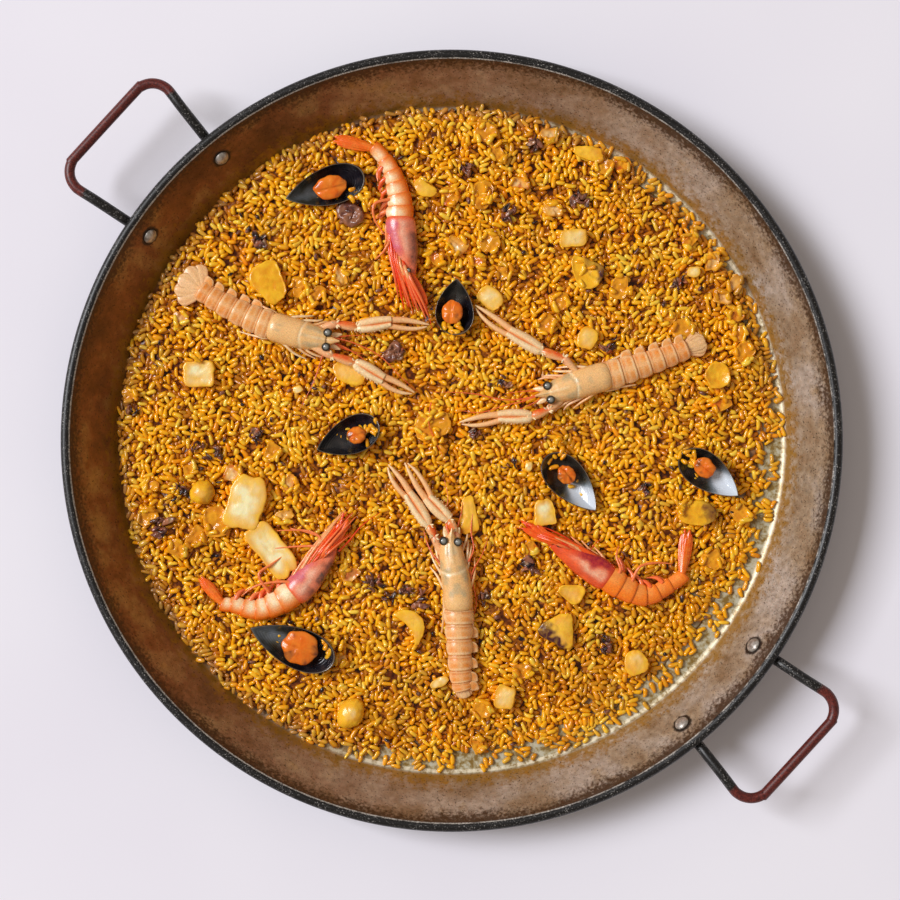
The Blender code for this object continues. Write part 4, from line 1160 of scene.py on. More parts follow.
def arm(clay, joints, lift, hand, rng):
    """Claw arm: shoulder, elbow, wrist, end of the palm and tip of the fixed finger."""
    spots = flat_line(joints)
    resting = rice_level(*joints[3]) + lift
    for spot, height in zip(spots, (4.5, 5.5, 4.5, 4.2, 2.6)):
        spot[2] = resting + height
    shoulder, elbow, wrist, palm, tip = spots

    def between(a, b, share):
        return a + (b - a) * share

    limb(clay, [shoulder, between(shoulder, elbow, 0.5), between(shoulder, elbow, 0.9),
                between(shoulder, elbow, 1.05)],
         [(3.6, 3.6), (5.6, 5.2), (6.6, 6.0), (4.2, 4.0)], 22, 14,
         warm=0.6, pale=0.35, red=np.linspace(-0.2, 0.9, 22)[:, None])
    facing = np.cos(section_angles(14)) * hand
    limb(clay, [between(elbow, wrist, -0.04), between(elbow, wrist, 0.4), between(elbow, wrist, 0.8),
                between(elbow, wrist, 1.04)],
         [(4.4, 4.2), (6.8, 6.4), (7.2, 6.4), (4.4, 4.2)], 20, 14,
         warm=1.0, pale=0.5 * smooth_step(facing, -0.2, 0.9),
         red=np.linspace(1.0, 0.35, 20)[:, None] * smooth_step(-facing, -0.8, 0.4))
    aside = unit(np.cross(tip - palm, (0, 0, 1.0))) * hand
    ahead = unit(palm - wrist)
    rows = 34
    for offset, share, groove in ((-2.5, 0.62, 0.0), (2.6, 0.5, 1.0)):
        line = [wrist, between(wrist, palm, 0.14) + aside * offset * 0.7,
                between(wrist, palm, 0.55) + aside * offset, palm + aside * offset * 0.75]
        sizes = [(3.6, 4.0), (6.4, 6.8), (11.5 * share, 8.0), (9.2 * share, 6.8)]
        seam = bell(np.cos(section_angles(16)) * hand * (1 - 2 * groove), 0.7, 0.3)[None]
        limb(clay, line, sizes, rows, 16, pale=0.75 + 0.2 * groove - 0.7 * seam,
             warm=0.45 + 0.7 * seam, red=0.3 * seam)
    fixed = [between(wrist, palm, 0.9) - aside * 2.0, between(palm, tip, 0.35) - aside * 2.2,
             between(palm, tip, 0.75) - aside * 1.1, tip]
    moving = [between(wrist, palm, 0.93) + aside * 2.6, between(palm, tip, 0.3) + aside * 4.2,
              between(palm, tip, 0.65) + aside * 3.9, between(palm, tip, 0.95) + aside * 1.6]
    for finger, thick in ((fixed, 1.0), (moving, 0.86)):
        limb(clay, finger, [(5.4 * thick, 5.2 * thick), (4.6 * thick, 4.4), (3.0, 3.0), (1.0, 1.0)], 22, 12,
             pale=np.linspace(0.3, 0.7, 22)[:, None] * (0.6 + 0.4 * np.sin(section_angles(12)))[None],
             warm=np.linspace(0.9, 0.4, 22)[:, None])
    for side, first, last, count, reach in ((1, 0.1, 0.98, 8, 5.2), (-1, 0.15, 0.95, 4, 4.6)):
        for index in range(count):
            share = first + (last - first) * (index + rng.uniform(-0.3, 0.3)) / count
            foot = between(wrist, palm, share) + aside * side * reach * (0.75 + 0.25 * sin(share * 3))
            foot[2] += rng.uniform(-0.6, 0.8)
            point = foot + aside * side * rng.uniform(0.7, 1.3) + ahead * 1.0 + np.array((0, 0, 0.5))
            limb(clay, [foot - aside * side * 1.2, foot, point], [2.0, 1.6, 0.5], 5, 6, pale=0.6, warm=0.4)
    for spot, radius in ((elbow, 3.5), (wrist, 3.4)):
        for index in range(5):
            turn = rng.uniform(0, tau)
            offset = np.array((cos(turn), sin(turn), 0.9)) * radius * 0.8
            limb(clay, [spot + offset * 0.5, spot + offset, spot + offset * 1.45], [2.0, 1.5, 0.4], 5, 6,
                 pale=0.95)


def walking_legs(clay, spine, first, last, count, reach, rng, kind=0, warm=0.6, forward=-1.0,
                 sides=(1, -1), length=0.2):
    """Thin jointed legs folded close along both sides of the body."""
    spine = flat_line(spine)
    for side in sides:
        for index in range(count):
            share = first + (last - first) * index / max(count - 1, 1)
            line = []
            for step, out, rise in ((0.0, 0.75, 4.5), (0.3, 1.0, 6.0), (0.65, 1.12, 4.4), (1.0, 1.2, 2.2)):
                place_on = share + forward * length * step * rng.uniform(0.85, 1.1)
                centre = through(spine, place_on)
                near = through(spine, min(place_on + 0.02, 1.0))
                across = left_of(unit(near - through(spine, max(place_on - 0.02, 0.0)))) * side
                spot = centre + across * (reach * out + rng.uniform(-0.9, 1.2) + 1.6 * index * step)
                line.append(on_rice(spot, rise * (0.7 + 0.15 * index) + 0.4))
            limb(clay, line, [2.6, 2.2, 1.9, 0.9], 14, 8, kind, warm=warm, pale=rng.uniform(0.2, 0.9),
                 red=rng.choice((0.0, 0.2, 0.5)))


def feeler(clay, points, thick, height, kind=0, red=0.9, rows=26, end=0.35, pale=0.03):
    """A long thin feeler over the rice; points are places in plan."""
    line = []
    for index, spot in enumerate(points):
        share = index / (len(points) - 1)
        line.append(on_rice(spot, height * (1 - share) + 2.2))
    limb(clay, line, [thick, thick * 0.85, thick * 0.65, end], rows, 7, kind, warm=1.0, red=red, pale=pale)


def eyeball(clay, centre, radius):
    """Black bead with a pale painted highlight over its top."""
    rows, sides = 9, 16
    tilt = np.linspace(-pi / 2 * 0.97, pi / 2 * 0.97, rows)[:, None]
    angles = section_angles(sides)
    rings = np.stack((np.cos(tilt) * np.cos(angles), np.cos(tilt) * np.sin(angles),
                      np.repeat(0.85 * np.sin(tilt), sides, 1)), -1)
    # Painted highlight on the top rows of the bead.
    top = smooth_step(np.linspace(-1, 1, rows), 0.6, 0.85)[:, None]
    loft(clay, rings * radius + centre, 1, cloudy=0.85 * top)


def make_langoustine(name, shell, eye, spine, arms, spread, lobes, fan, feelers):
    """Langoustine on its belly; spine runs from the tip of the rostrum to the tail's end."""
    rng = random.Random(name)
    wide = LANGOUSTINE_GIRTH
    stations = [(0.0, 1.2, 1.2, 13.8), (0.05, 2.6, 2.4, 12.6), (0.10, 6, 5, 10.0), (0.13, 13, 10, 5.0),
                (0.20, 0.80 * wide, 14, 2.0), (0.32, 0.98 * wide, 17, 0.4), (0.44, wide, 17, 0.2),
                (0.462, 0.97 * wide, 16.4, 0.4), (0.478, 0.84 * wide, 13, 0.8)]
    clay = Clay()
    rows, sides = 84, 36
    places, path, widths, heights = body_rows(spine, stations, rows)
    rings = oval_rings(path, widths, heights, sides)
    angles = section_angles(sides)
    cosine = np.cos(angles)
    top = np.clip(np.sin(angles), 0, 1)
    down = places[:, None]
    groove = bell(down + 0.02 * cosine ** 2, 0.315, 0.006)
    ridge = bell(cosine, 0.0, 0.09) * (top > 0) * (1 - smooth_step(down, 0.24, 0.3))
    pair = bell(np.abs(cosine), 0.45, 0.08) * (top > 0) * bell(down, 0.2, 0.05)
    rings += level_frame(path)[1][:, None] * (ridge * 0.9 + pair * 0.6 - groove * 0.5)[..., None]
    blotch = waves(path[:, :1] / 9, path[:, 1:2] / 9, 2.2 * np.abs(cosine))
    grey = smooth_step(blotch, 0.0, 0.35) * smooth_step(down, 0.13, 0.2) * 0.75
    pale = np.maximum(0.9 * groove, 0.5 * ridge + 0.3 * pair + 0.15 * top)
    low = smooth_step(-np.sin(angles), -0.2, 0.6)
    loft(clay, rings, warm=0.12 + 0.6 * low + 0.1 * blotch, pale=pale, grey=grey * (1 - 0.5 * low),
         dark=0.8 * bell(down, 0.474, 0.004))
    plates(clay, spine, 0.475, 0.88, 6, (0.93 * wide, 0.68 * wide), (14.8, 9.8))
    side_lobes(clay, spine, 0.475, 0.88, 6, (0.93 * wide, 0.68 * wide), lobes)
    bottom = flat_line(spine)
    root = through(bottom, 0.86)
    direction = unit(bottom[-1] - through(bottom, 0.875))
    length = np.linalg.norm(bottom[-1] - root) * fan["reach"]
    root = on_rice(root, 2.4)
    limb(clay, [root - direction * 3, root + direction * 3], [(12, 7), (9, 4)], 6, 16, warm=0.7)
    for share, lift, size in ((-1.25, 0.2, 0.92), (1.25, 0.1, 0.92), (-0.65, 0.6, 0.98), (0.65, 0.5, 0.98),
                              (0.0, 1.1, 0.96)):
        turn = radians(spread * share + fan["turn"])
        fan_blade(clay, root, direction, turn, length * size, fan["width"], lift,
                  warm=0.5 + 0.1 * abs(share), pale=0.45)
    for joints, lift, hand in arms:
        arm(clay, joints, lift, hand, rng)
    walking_legs(clay, spine, 0.24, 0.42, 4, 10.2, rng, warm=0.45, length=0.17)
    walking_legs(clay, spine, 0.36, 0.44, 2, 9.6, rng, warm=0.5, forward=1.0, length=0.16)
    face = through(bottom, 0.14)
    forward = unit(through(bottom, 0.1) - face)
    beside = left_of(forward)
    for side in (1, -1):
        centre = on_rice(face, 12.4) + beside * 5.6 * side
        stalk = centre - beside * side * 4.0 - forward * 1.0
        stalk[2] -= 2.0
        limb(clay, [stalk, centre], [2.6, 3.4], 6, 10, pale=0.6)
        eyeball(clay, centre, 3.6)
        scale_root = face + beside * 3.5 * side + forward * 2.0
        scale_root[2] = centre[2] - 4.0
        tip = scale_root + forward * 9 + beside * side * 2.5 - np.array((0, 0, 2.0))
        limb(clay, [scale_root, (scale_root + tip) / 2, tip], [(3.6, 2.0), (4.2, 1.6), (1.0, 0.6)], 10, 10,
             pale=0.7, warm=0.3)
    for points, thick in feelers:
        feeler(clay, points, thick, 6.0, 2)
    for side in (1, -1):
        for reach in (24, 30):
            start = face + beside * 2.0 * side + forward * 3.0
            end = start + forward * reach + beside * side * (2 + reach * 0.12)
            feeler(clay, [start[:2], (start[:2] + end[:2]) / 2 + beside[:2] * side, end[:2]], 0.9, 5.5, 2,
                   rows=12)
    clay.make(name + "_whole", [shell, eye, shell], "langoustine_shell", [name])


def turn_side(spine):
    """1 where the inside of the curve lies to the left of the way along it, else -1."""
    total = 0.0
    for before, here, after in zip(spine, spine[1:], spine[2:]):
        total += (here[0] - before[0]) * (after[1] - here[1])
        total -= (here[1] - before[1]) * (after[0] - here[0])
    return 1 if total > 0 else -1


def make_prawn(name, spine, spread, look, shell, eye, legs, head):
    """Prawn on its side; spine runs from the tip of the rostrum round to the tail's end."""
    rng = random.Random(name)
    deep = PRAWN_GIRTH
    inner = turn_side(spine)
    belly = -inner
    stations = [(0.0, 1.2, 1.2, 9.0), (0.06, 3.0, 2.6, 7.0), (0.12, 7.0, 5.4, 4.0),
                (0.17, 0.62 * deep, 9.5, 1.5), (0.27, 0.98 * deep, 13.5, 0.2),
                (0.36, 1.08 * deep, 14.5, 0.0), (0.40, 1.02 * deep, 13.8, 0.2),
                (0.418, 0.8 * deep, 11.5, 0.4)]
    clay = Clay()
    rows, sides = 70, 32
    places, path, widths, heights = body_rows(spine, stations, rows)
    rings = oval_rings(path, widths, heights, sides)
    angles = section_angles(sides)
    toward = np.cos(angles) * belly
    blotch = waves(path[:, :1] / 7, path[:, 1:2] / 7, 1.5 * np.cos(angles))
    down = places[:, None]
    hind = smooth_step(down, 0.2, 0.29)
    rear = smooth_step(down, 0.375, 0.405)
    fore = smooth_step(down, 0.13, 0.2) * (1 - smooth_step(down, 0.32, 0.4))
    back_patch = fore * smooth_step(-toward, -0.1, 0.5) * smooth_step(blotch, -0.5, 0.05)
    belly_patch = hind * (1 - rear) * smooth_step(toward + 0.4 * blotch, 0.05, 0.45)
    stripe = hind * (1 - rear) * bell(toward + 0.3 * blotch, -0.1, 0.3)
    snout = 1 - smooth_step(down, 0.06, 0.2)
    loft(clay, rings, 3, warm=np.maximum(rear, 0.35 + 0.6 * blotch), red=0.9 * snout + 0.2 * rear,
         pale=look["pale"] * stripe, grey=look["grey"] * back_patch, dark=look["dark"] * belly_patch)
    plates(clay, spine, 0.405, 0.85, 6, (0.95 * deep, 0.5 * deep), (13.5, 7.6), belly, 28, look["cream"])
    bottom = flat_line(spine)
    root = through(bottom, 0.835)
    direction = unit(bottom[-1] - through(bottom, 0.845))
    length = np.linalg.norm(bottom[-1] - root)
    root = on_rice(root, 2.6)
    for share, lift, size in ((-1.3, 0.0, 0.9), (1.3, 0.3, 0.9), (-0.6, 0.7, 1.0), (0.6, 0.5, 1.0),
                              (0.0, 1.2, 0.86)):
        fan_blade(clay, root, direction, radians(spread * 0.62) * share, length * size, 6.4, lift, True,
                  warm=1.0, red=0.3 + 0.5 * np.linspace(0, 1, 18)[:, None])
    for index in range(5):
        share = 0.45 + 0.075 * index
        for copy in (0, 1):
            centre = through(bottom, share + 0.012 * copy)
            ahead = unit(through(bottom, share + 0.03) - through(bottom, share - 0.01))
            outward = left_of(ahead) * inner
            reach = deep * 0.5 * (1 - 0.35 * index / 4)
            start = on_rice(centre + outward * (reach - 2.5), 5.0 - 2.5 * copy)
            bend = start + outward * (5.5 + rng.uniform(-1, 1)) - ahead * (2.0 + 2 * copy)
            tip = bend + outward * (3.5 + rng.uniform(-1, 1)) - ahead * (5.0 + rng.uniform(-1, 2))
            bend[2] -= 0.6
            limb(clay, [start, bend, on_rice(tip, 2.2)], [(3.6, 2.4), (3.0, 1.6), (0.8, 0.6)],
                 12, 8, 2, warm=0.8,
                 red=rng.uniform(0.0, 0.5), pale=rng.uniform(0.1, 0.5))
    face = through(bottom, 0.17)
    ahead = unit(through(bottom, 0.05) - face)
    inward = left_of(ahead) * -inner
    eyeball(clay, on_rice(face + inward * 1.5 + ahead * 3.0, 11.0), 2.3)
    muzzle = on_rice(through(bottom, 0.13), 8.5)
    for turn, size in ((-7, 1.0), (6, 0.85), (15, 0.7)):
        fan_blade(clay, muzzle, ahead, -inner * radians(turn), 27 * size, 6.4, 0.0, True, warm=1.0,
                  red=1.0)
    first, last = (np.array(point) for point in look["bundle"])
    for index in range(look["legs"]):
        share = (index + rng.uniform(0.1, 0.9)) / look["legs"]
        start = through(bottom, 0.36 - 0.17 * share) + inward * deep * (0.46 - 0.36 * share)
        end = first + (last - first) * share - ahead[:2] * rng.choice((-2, 0, 3, 8, 14))
        near = start[:2] + (end - start[:2]) * 0.3 + inward[:2] * rng.uniform(0, 2.0)
        far = start[:2] + (end - start[:2]) * 0.66 + inward[:2] * rng.uniform(-0.5, 1.5)
        line = [on_rice(spot, height + rng.uniform(-0.6, 0.9))
                for spot, height in ((start[:2], 7.0), (near, 8.5 + 4 * share), (far, 8.0 + 2 * share),
                                     (end, 3.2))]
        thick = rng.uniform(1.9, 3.0)
        limb(clay, line, [thick, thick * 0.95, thick * 0.8, 0.7], 20, 8, 2, warm=0.8,
             red=rng.choice((0.2, 0.6, 1.0)), pale=rng.choice((0.0, 0.0, 0.25, 0.8)))
    for points, thick in look["feelers"]:
        feeler(clay, points, thick, 5.0, 2)
    for points in look["bent_legs"]:
        line = [on_rice(spot, height) for spot, height in zip(points, (7.0, 9.5, 8.0, 5.5))]
        limb(clay, line, [2.6, 2.2, 1.7, 0.7], 18, 8, 2, warm=0.8, red=0.25, pale=0.35)
    walking_legs(clay, spine, 0.3, 0.4, 3, deep * 0.42, rng, 2, 0.7, -1.0, (inner,), 0.12)
    clay.make(name + "_whole", [shell, eye, legs, head], "prawn_shell", [name])


# Mussels

def shell_ring(length, width, scale, height, sides=48):
    """Ring of a mussel's outline, pointed at the hinge and round at the other end."""
    angles = section_angles(sides)
    x = length / 2 * (1 - np.cos(angles))
    y = 1.2 * width / 2 * np.sin(angles) * np.abs(np.sin(angles / 2)) ** 0.72
    y = y + 0.1 * width * np.sin(angles / 2) ** 2
    x = 0.55 * length + (x - 0.55 * length) * scale
    return np.column_stack((x, y * scale, np.full(sides, height)))


def make_mussel(number, hinge, end, width, tilt, meat, pearl, shell, flesh):
    """Half shell with its inside up, and the meat that lies in it."""
    hinge, end = Vector((*hinge, 0)), Vector((*end, 0))
    length = (end - hinge).length
    heading = atan2(end.y - hinge.y, end.x - hinge.x)
    middle = hinge.lerp(end, 0.55)
    rim = rice_level(middle.x, middle.y) - MUSSEL_SINK + MUSSEL_DEPTH
    pose = np.array(Matrix.Translation(Vector((hinge.x, hinge.y, rim)))
                    @ Matrix.Rotation(heading, 4, "Z") @ Matrix.Rotation(radians(tilt), 4, "X"))

    def placed(rings):
        return np.asarray(rings) @ pose[:3, :3].T + pose[:3, 3]

    steps = np.linspace(0.06, 1.0, 12)
    outer = [(step, -0.93 * MUSSEL_DEPTH * (1 - step ** 2.6) ** 0.62) for step in steps]
    inner = [(step * 0.955, min(height + MUSSEL_THICKNESS, 0.0) if step < 1 else 0.0)
             for step, height in reversed(outer)]
    lip = [(0.99, 0.45), (0.972, 0.4)]
    rings = [shell_ring(length, width, scale, height) for scale, height in outer + lip + inner]
    grow = np.array([scale for scale, height in outer + lip + inner])[:, None]
    inside = np.array([0.0] * (len(outer) + 1) + [1.0] * (len(inner) + 1))[:, None]
    column = shell_ring(length, width, 1.0, 0.0)[:, 0] / length
    nearness = 1 - smooth_step(column, 0.06, 0.46)[None]
    clay = Clay()
    loft(clay, placed(rings), grow=grow, pearl=np.clip(inside * pearl * (0.3 + 1.2 * nearness), 0, 1),
         brim=0.8 * (np.abs(grow - 0.978) < 0.008))
    clay.make("mussel_half_%d" % number, [shell], "mussel_shell", ["mussel_shell_%d" % number])
    share, across, meat_length, meat_width = meat
    low = -0.93 * MUSSEL_DEPTH + MUSSEL_THICKNESS + 0.9
    stations = [(0.28, low), (0.45, -7.2), (0.6, -5.0), (0.8, -2.6), (0.92, -0.6), (0.97, 0.6), (0.92, 1.6),
                (0.78, 2.5), (0.56, 3.1), (0.3, 3.4), (0.06, 3.5)]
    scale, height = (np.array(column)[:, None] for column in zip(*stations))
    cosine, sine = np.cos(section_angles(40)), np.sin(section_angles(40))
    lump = 1 + 0.12 * waves(2 * cosine, 2 * sine, number * 6.0)
    fold = 0.9 * waves(cosine * scale * 3.2, sine * scale * 2.2, number * 4.7) * (height > -1)
    crease = 1.4 * bell(sine * scale, -0.12, 0.13) * (height > 1)
    rings = np.stack((share * length + meat_length / 2 * scale * lump * cosine,
                      across + meat_width / 2 * scale * lump * sine, height + 1.3 * fold - crease), -1)
    shade = waves(cosine * scale * 1.6, sine * scale * 1.6, number * 9.1 + 2)
    dark = smooth_step(shade, 0.2, 0.42) * 0.7 * smooth_step(scale, 0.2, 0.5)
    clay = Clay()
    loft(clay, placed(rings), dark=dark, rust=0.25 * (0.5 + 0.5 * scale))
    clay.make("mussel_flesh_%d" % number, [flesh], "mussel_meat", ["mussel_meat_%d" % number])


# Cut pieces

def make_lump(clay, name, centre, length, width, height, heading, square=2.6, taper=0.0, bend=0.0,
              dish=0.5, crisp=True, rough=0.4, lean=0.0, facing=None, dome=False, sides=48, pale=0.0,
              rust=0.0, dark=0.0):
    """Cut piece sunk a little in the rice, or a ball if dome is set.

    dish hollows its top if it is below 0, or swells it. facing is the side that the dark mask
    keeps to, in degrees, and without it the dark lies in spots all over.
    """
    x, y = centre
    seed = sum(ord(letter) * (place_of + 3) for place_of, letter in enumerate(name))
    turn = radians(heading)
    if crisp:
        stations = [(0.0, 0.9), (0.3, 0.96), (0.6, 0.99), (0.84, 1.0), (0.94, 0.985), (0.985, 0.955),
                    (1.0, 0.9)]
    else:
        stations = [(0.0, 0.85), (0.3, 0.97), (0.55, 1.0), (0.75, 0.95), (0.9, 0.86), (0.97, 0.76),
                    (1.0, 0.66)]
    edge = stations[-1][1]
    stations += [(1.0, edge * share) for share in (0.93, 0.84, 0.74, 0.62, 0.5, 0.38, 0.26, 0.14, 0.03)]
    if dome:
        tilts = np.linspace(0.0, radians(89), 14)
        stations = [(0.0, 0.88), (0.2, 0.97)] + [(0.36 + 0.635 * sin(t), cos(t)) for t in tilts]
    level, scale = (np.array(column)[:, None] for column in zip(*stations))
    cosine, sine = np.cos(section_angles(sides)), np.sin(section_angles(sides))
    reach = (np.abs(cosine) ** square + np.abs(sine) ** square) ** (-1 / square)
    reach = reach * (1 + 0.15 * waves(cosine * 1.3, sine * 1.3, seed * 0.13)
                     + 0.07 * waves(cosine * 4, sine * 4, seed * 0.31))
    u = cosine * reach * scale
    v = sine * reach * scale * (1 + taper * u)
    px = length / 2 * u
    py = width / 2 * v + bend * (u * u - 0.4)
    dent = rough * (waves(px / 3.0, py / 3.0, seed * 0.7 + level) + 1.2 * waves(px / 6.5, py / 6.5, seed))
    rise = height * level + (dish * (1 - (scale / edge) ** 2) + lean * v) * (level == 1.0)
    rings = np.stack((x + px * cos(turn) - py * sin(turn) + 0.4 * dent,
                      y + px * sin(turn) + py * cos(turn) + 0.4 * dent,
                      rice_level(x, y) - LUMP_SINK + rise + dent * (level > 0.3)), -1)
    on_top = smooth_step(level, 0.9, 1.0) * (1 - 0.95 * smooth_step(scale, 0.4, 0.95))
    pale = pale * (on_top * (1.15 + 1.2 * waves(px / 7, py / 7, seed * 0.37)) + 0.05)
    rust = rust * smooth_step(waves(px / 6, py / 6, seed * 0.9), -0.1, 0.35) * 1.6
    shade = waves(rings[..., 0] / 5, rings[..., 1] / 5, seed * 1.7)
    spotted = smooth_step(shade, -0.15, 0.3) * 1.8
    if facing is not None:
        side = (rings[..., :2] - (x, y)) @ (cos(radians(facing)), sin(radians(facing)))
        spotted = smooth_step(side / width + 0.3 * shade, 0.12, 0.3)
    loft(clay, rings, pale=np.clip(pale, 0, 1), rust=np.clip(rust, 0, 1), dark=np.clip(dark * spotted, 0, 1))


def crumple(clay, x, y, size, rng, dark=1.0):
    """Cooked end of a tentacle or scrap of dark skin: ragged flaps and short curls in the rice."""
    for flap in range(rng.randint(3, 5)):
        long = size * rng.uniform(0.35, 0.62)
        spot = (x + rng.uniform(-0.3, 0.3) * size, y + rng.uniform(-0.3, 0.3) * size)
        make_lump(clay, "flap_%d_%d" % (x * 7 + y, flap), spot, long, long * rng.uniform(0.35, 0.6),
                  rng.uniform(3.2, 5.0), rng.uniform(0, 180), 2.0, rng.uniform(-0.5, 0.5),
                  rng.uniform(-0.25, 0.25) * long, rng.uniform(-1.2, 0.6), False, 1.3, sides=24,
                  pale=rng.choice((0.0, 0.0, 0.15)), rust=rng.uniform(0, 0.4),
                  dark=dark * rng.uniform(0.35, 1.0))
    for piece in range(rng.randint(2, 4)):
        turn = rng.uniform(0, tau)
        swing = rng.choice((-1, 1)) * rng.uniform(0.6, 2.2)
        spot = np.array((x + rng.uniform(-0.3, 0.3) * size, y + rng.uniform(-0.3, 0.3) * size))
        line = []
        for step in range(5):
            line.append(on_rice(spot, 0.9 + 1.2 * sin(step / 4 * pi) + rng.uniform(0, 0.7)))
            spot = spot + np.array((cos(turn), sin(turn))) * size * 0.1
            turn += swing / 4
        thick = size * rng.uniform(0.09, 0.16)
        limb(clay, line, [thick * 0.8, thick, thick * 0.9, thick * 0.7, 0.5], 14, 8,
             dark=dark * rng.uniform(0.4, 1.0), rust=rng.uniform(0, 0.3), pale=0.0)


LANGOUSTINES = {
    "langoustine_1": {
        "spine": [(0.3, -67.6), (-0.6, -85), (4.6, -118), (5.6, -152), (7.5, -186), (11.5, -201)],
        "arms": [([(-6, -93), (-13.5, -75), (-18, -66), (-34.5, -41), (-49.5, -18.5)], 0.4, -1),
                 ([(5, -88), (3.2, -72), (-2.2, -61.5), (-19, -44), (-36.6, -17)], 1.5, 1)],
        "spread": 20, "lobes": -1, "fan": {"reach": 1.0, "turn": -4, "width": 9.5},
        "feelers": [([(13, -94), (17, -84), (15, -70), (17, -52)], 1.5),
                    ([(14, -108), (18, -98), (24, -88), (28, -76)], 1.3),
                    ([(14, -100), (17, -114), (19, -128), (14, -146)], 1.2),
                    ([(-9, -96), (-15, -88), (-19, -80), (-22, -70)], 1.5),
                    ([(-1, -76), (-5, -60), (-3, -44), (-6, -30)], 1.0)]},
    "langoustine_2": {
        "spine": [(-87, 77.2), (-103, 79.3), (-130, 86.2), (-158, 96.4), (-187, 112), (-205.5, 125)],
        "arms": [([(-111, 85), (-90, 91), (-74, 88.5), (-47, 92.5), (-17.5, 90.5)], 0.6, 1),
                 ([(-116, 77), (-93, 66), (-75.5, 60.5), (-53, 47.5), (-29, 37.5)], 4.2, 1)],
        "spread": 40, "lobes": 1, "fan": {"reach": 1.6, "turn": 6, "width": 13.0},
        "feelers": [([(-98, 75), (-102, 62), (-108, 45), (-119, 24)], 1.2),
                    ([(-95, 77), (-84, 73), (-72, 66), (-66, 60)], 1.4),
                    ([(-92, 80), (-76, 76), (-56, 66), (-40, 50), (-24, 36)], 1.2)]},
    "langoustine_3": {
        "spine": [(64.5, 34.6), (82, 39), (110, 47.6), (141, 56.6), (172, 67.4), (195.5, 77)],
        "arms": [([(97, 54), (87, 64), (70.5, 69.5), (44, 85), (18, 105.5)], 4.0, -1),
                 ([(88, 33), (75, 24), (62.5, 19), (36, 18.6), (6, 14.3)], 0.4, -1)],
        "spread": 16, "lobes": -1, "fan": {"reach": 1.2, "turn": 0, "width": 11.5},
        "feelers": [([(70, 37), (58, 33), (40, 32), (14, 37), (-14, 38)], 1.5),
                    ([(70, 36), (56, 31), (40, 27), (22, 22), (4, 24)], 1.2),
                    ([(-16, 30), (-18, 14), (-12, -2), (-4, -18)], 1.0)]},
}

PRAWNS = {
    "prawn_1": {
        "spine": [(-23, 110), (-31.5, 129), (-36, 147), (-40, 169), (-40, 185), (-43.5, 201),
                  (-50, 216), (-64.5, 231.5), (-92, 236.5)],
        "spread": 8,
        "look": {"head": "pink", "pale": 0.55, "grey": 0.8, "dark": 0.8, "cream": 0.8, "legs": 20,
                 "bundle": [(-39, 104), (-17, 95)],
                 "feelers": [([(-26, 120), (-21, 108), (-18, 98), (-15, 86)], 1.3)],
                 "bent_legs": [[(-46, 160), (-50, 152), (-54, 146), (-60, 141)],
                               [(-47, 188), (-60, 184), (-60, 172), (-52, 160)]]}},
    "prawn_2": {
        "spine": [(-84, -56), (-93, -84), (-105, -99), (-119, -115), (-136, -127), (-152, -132),
                  (-169, -128.5), (-182, -126), (-197, -107)],
        "spread": 7,
        "look": {"head": "pink", "pale": 0.65, "grey": 0.9, "dark": 0.75, "cream": 0.85, "legs": 16,
                 "bundle": [(-88, -54), (-72, -60)],
                 "feelers": [([(-88, -86), (-80, -78), (-70, -66), (-56, -56)], 1.6)],
                 "bent_legs": [[(-108, -92), (-101, -78), (-112, -70), (-136, -70)],
                               [(-112, -102), (-105, -84), (-116, -82), (-139, -84)],
                               [(-118, -108), (-98, -82), (-104, -74), (-126, -68)],
                               [(-121, -122), (-126, -110), (-150, -112), (-164, -121)],
                               [(-142, -118), (-150, -104), (-140, -96), (-132, -90)]]}},
    "prawn_3": {
        "spine": [(57, -65.5), (78, -79), (97, -91), (117, -104), (134, -115), (151, -121),
                  (167, -115), (184, -101), (185.5, -69)],
        "spread": 8,
        "look": {"head": "crimson", "pale": 0.6, "grey": 0.3, "dark": 0.95, "cream": 0.05, "legs": 14,
                 "bundle": [(54, -61), (60, -72)],
                 "feelers": [([(112, -98), (98, -82), (78, -70), (52, -62)], 2.0),
                             ([(92, -92), (80, -80), (64, -70), (50, -68)], 1.6),
                             ([(116, -100), (108, -88), (112, -80), (118, -76)], 1.0)],
                 "bent_legs": [[(128, -106), (131, -100), (128, -90), (130, -82)],
                               [(140, -110), (146, -98), (158, -95), (172, -96)]]}},
}

# Hinge, round end, width, tilt about the length, the meat's place and size, and how pearly it is
MUSSELS = [
    ((-129, 188), (-67, 203), 31, 9, (0.56, 0.5, 27, 19), 0.25),
    ((4, 126), (-2, 82.5), 31, 6, (0.6, 0, 19, 17), 0.15),
    ((-105, -7), (-55.5, 10), 31, -14, (0.63, 0.5, 15, 14.5), 0.1),
    ((112, -54.5), (76, -9.5), 32, 14, (0.63, 0.5, 16, 15), 0.75),
    ((223, -43), (180.5, -7.5), 30, -12, (0.62, 0, 18, 16), 0.7),
    ((-156.5, -145.5), (-93, -176), 34, 8, (0.59, 3, 30, 28), 0.3),
]

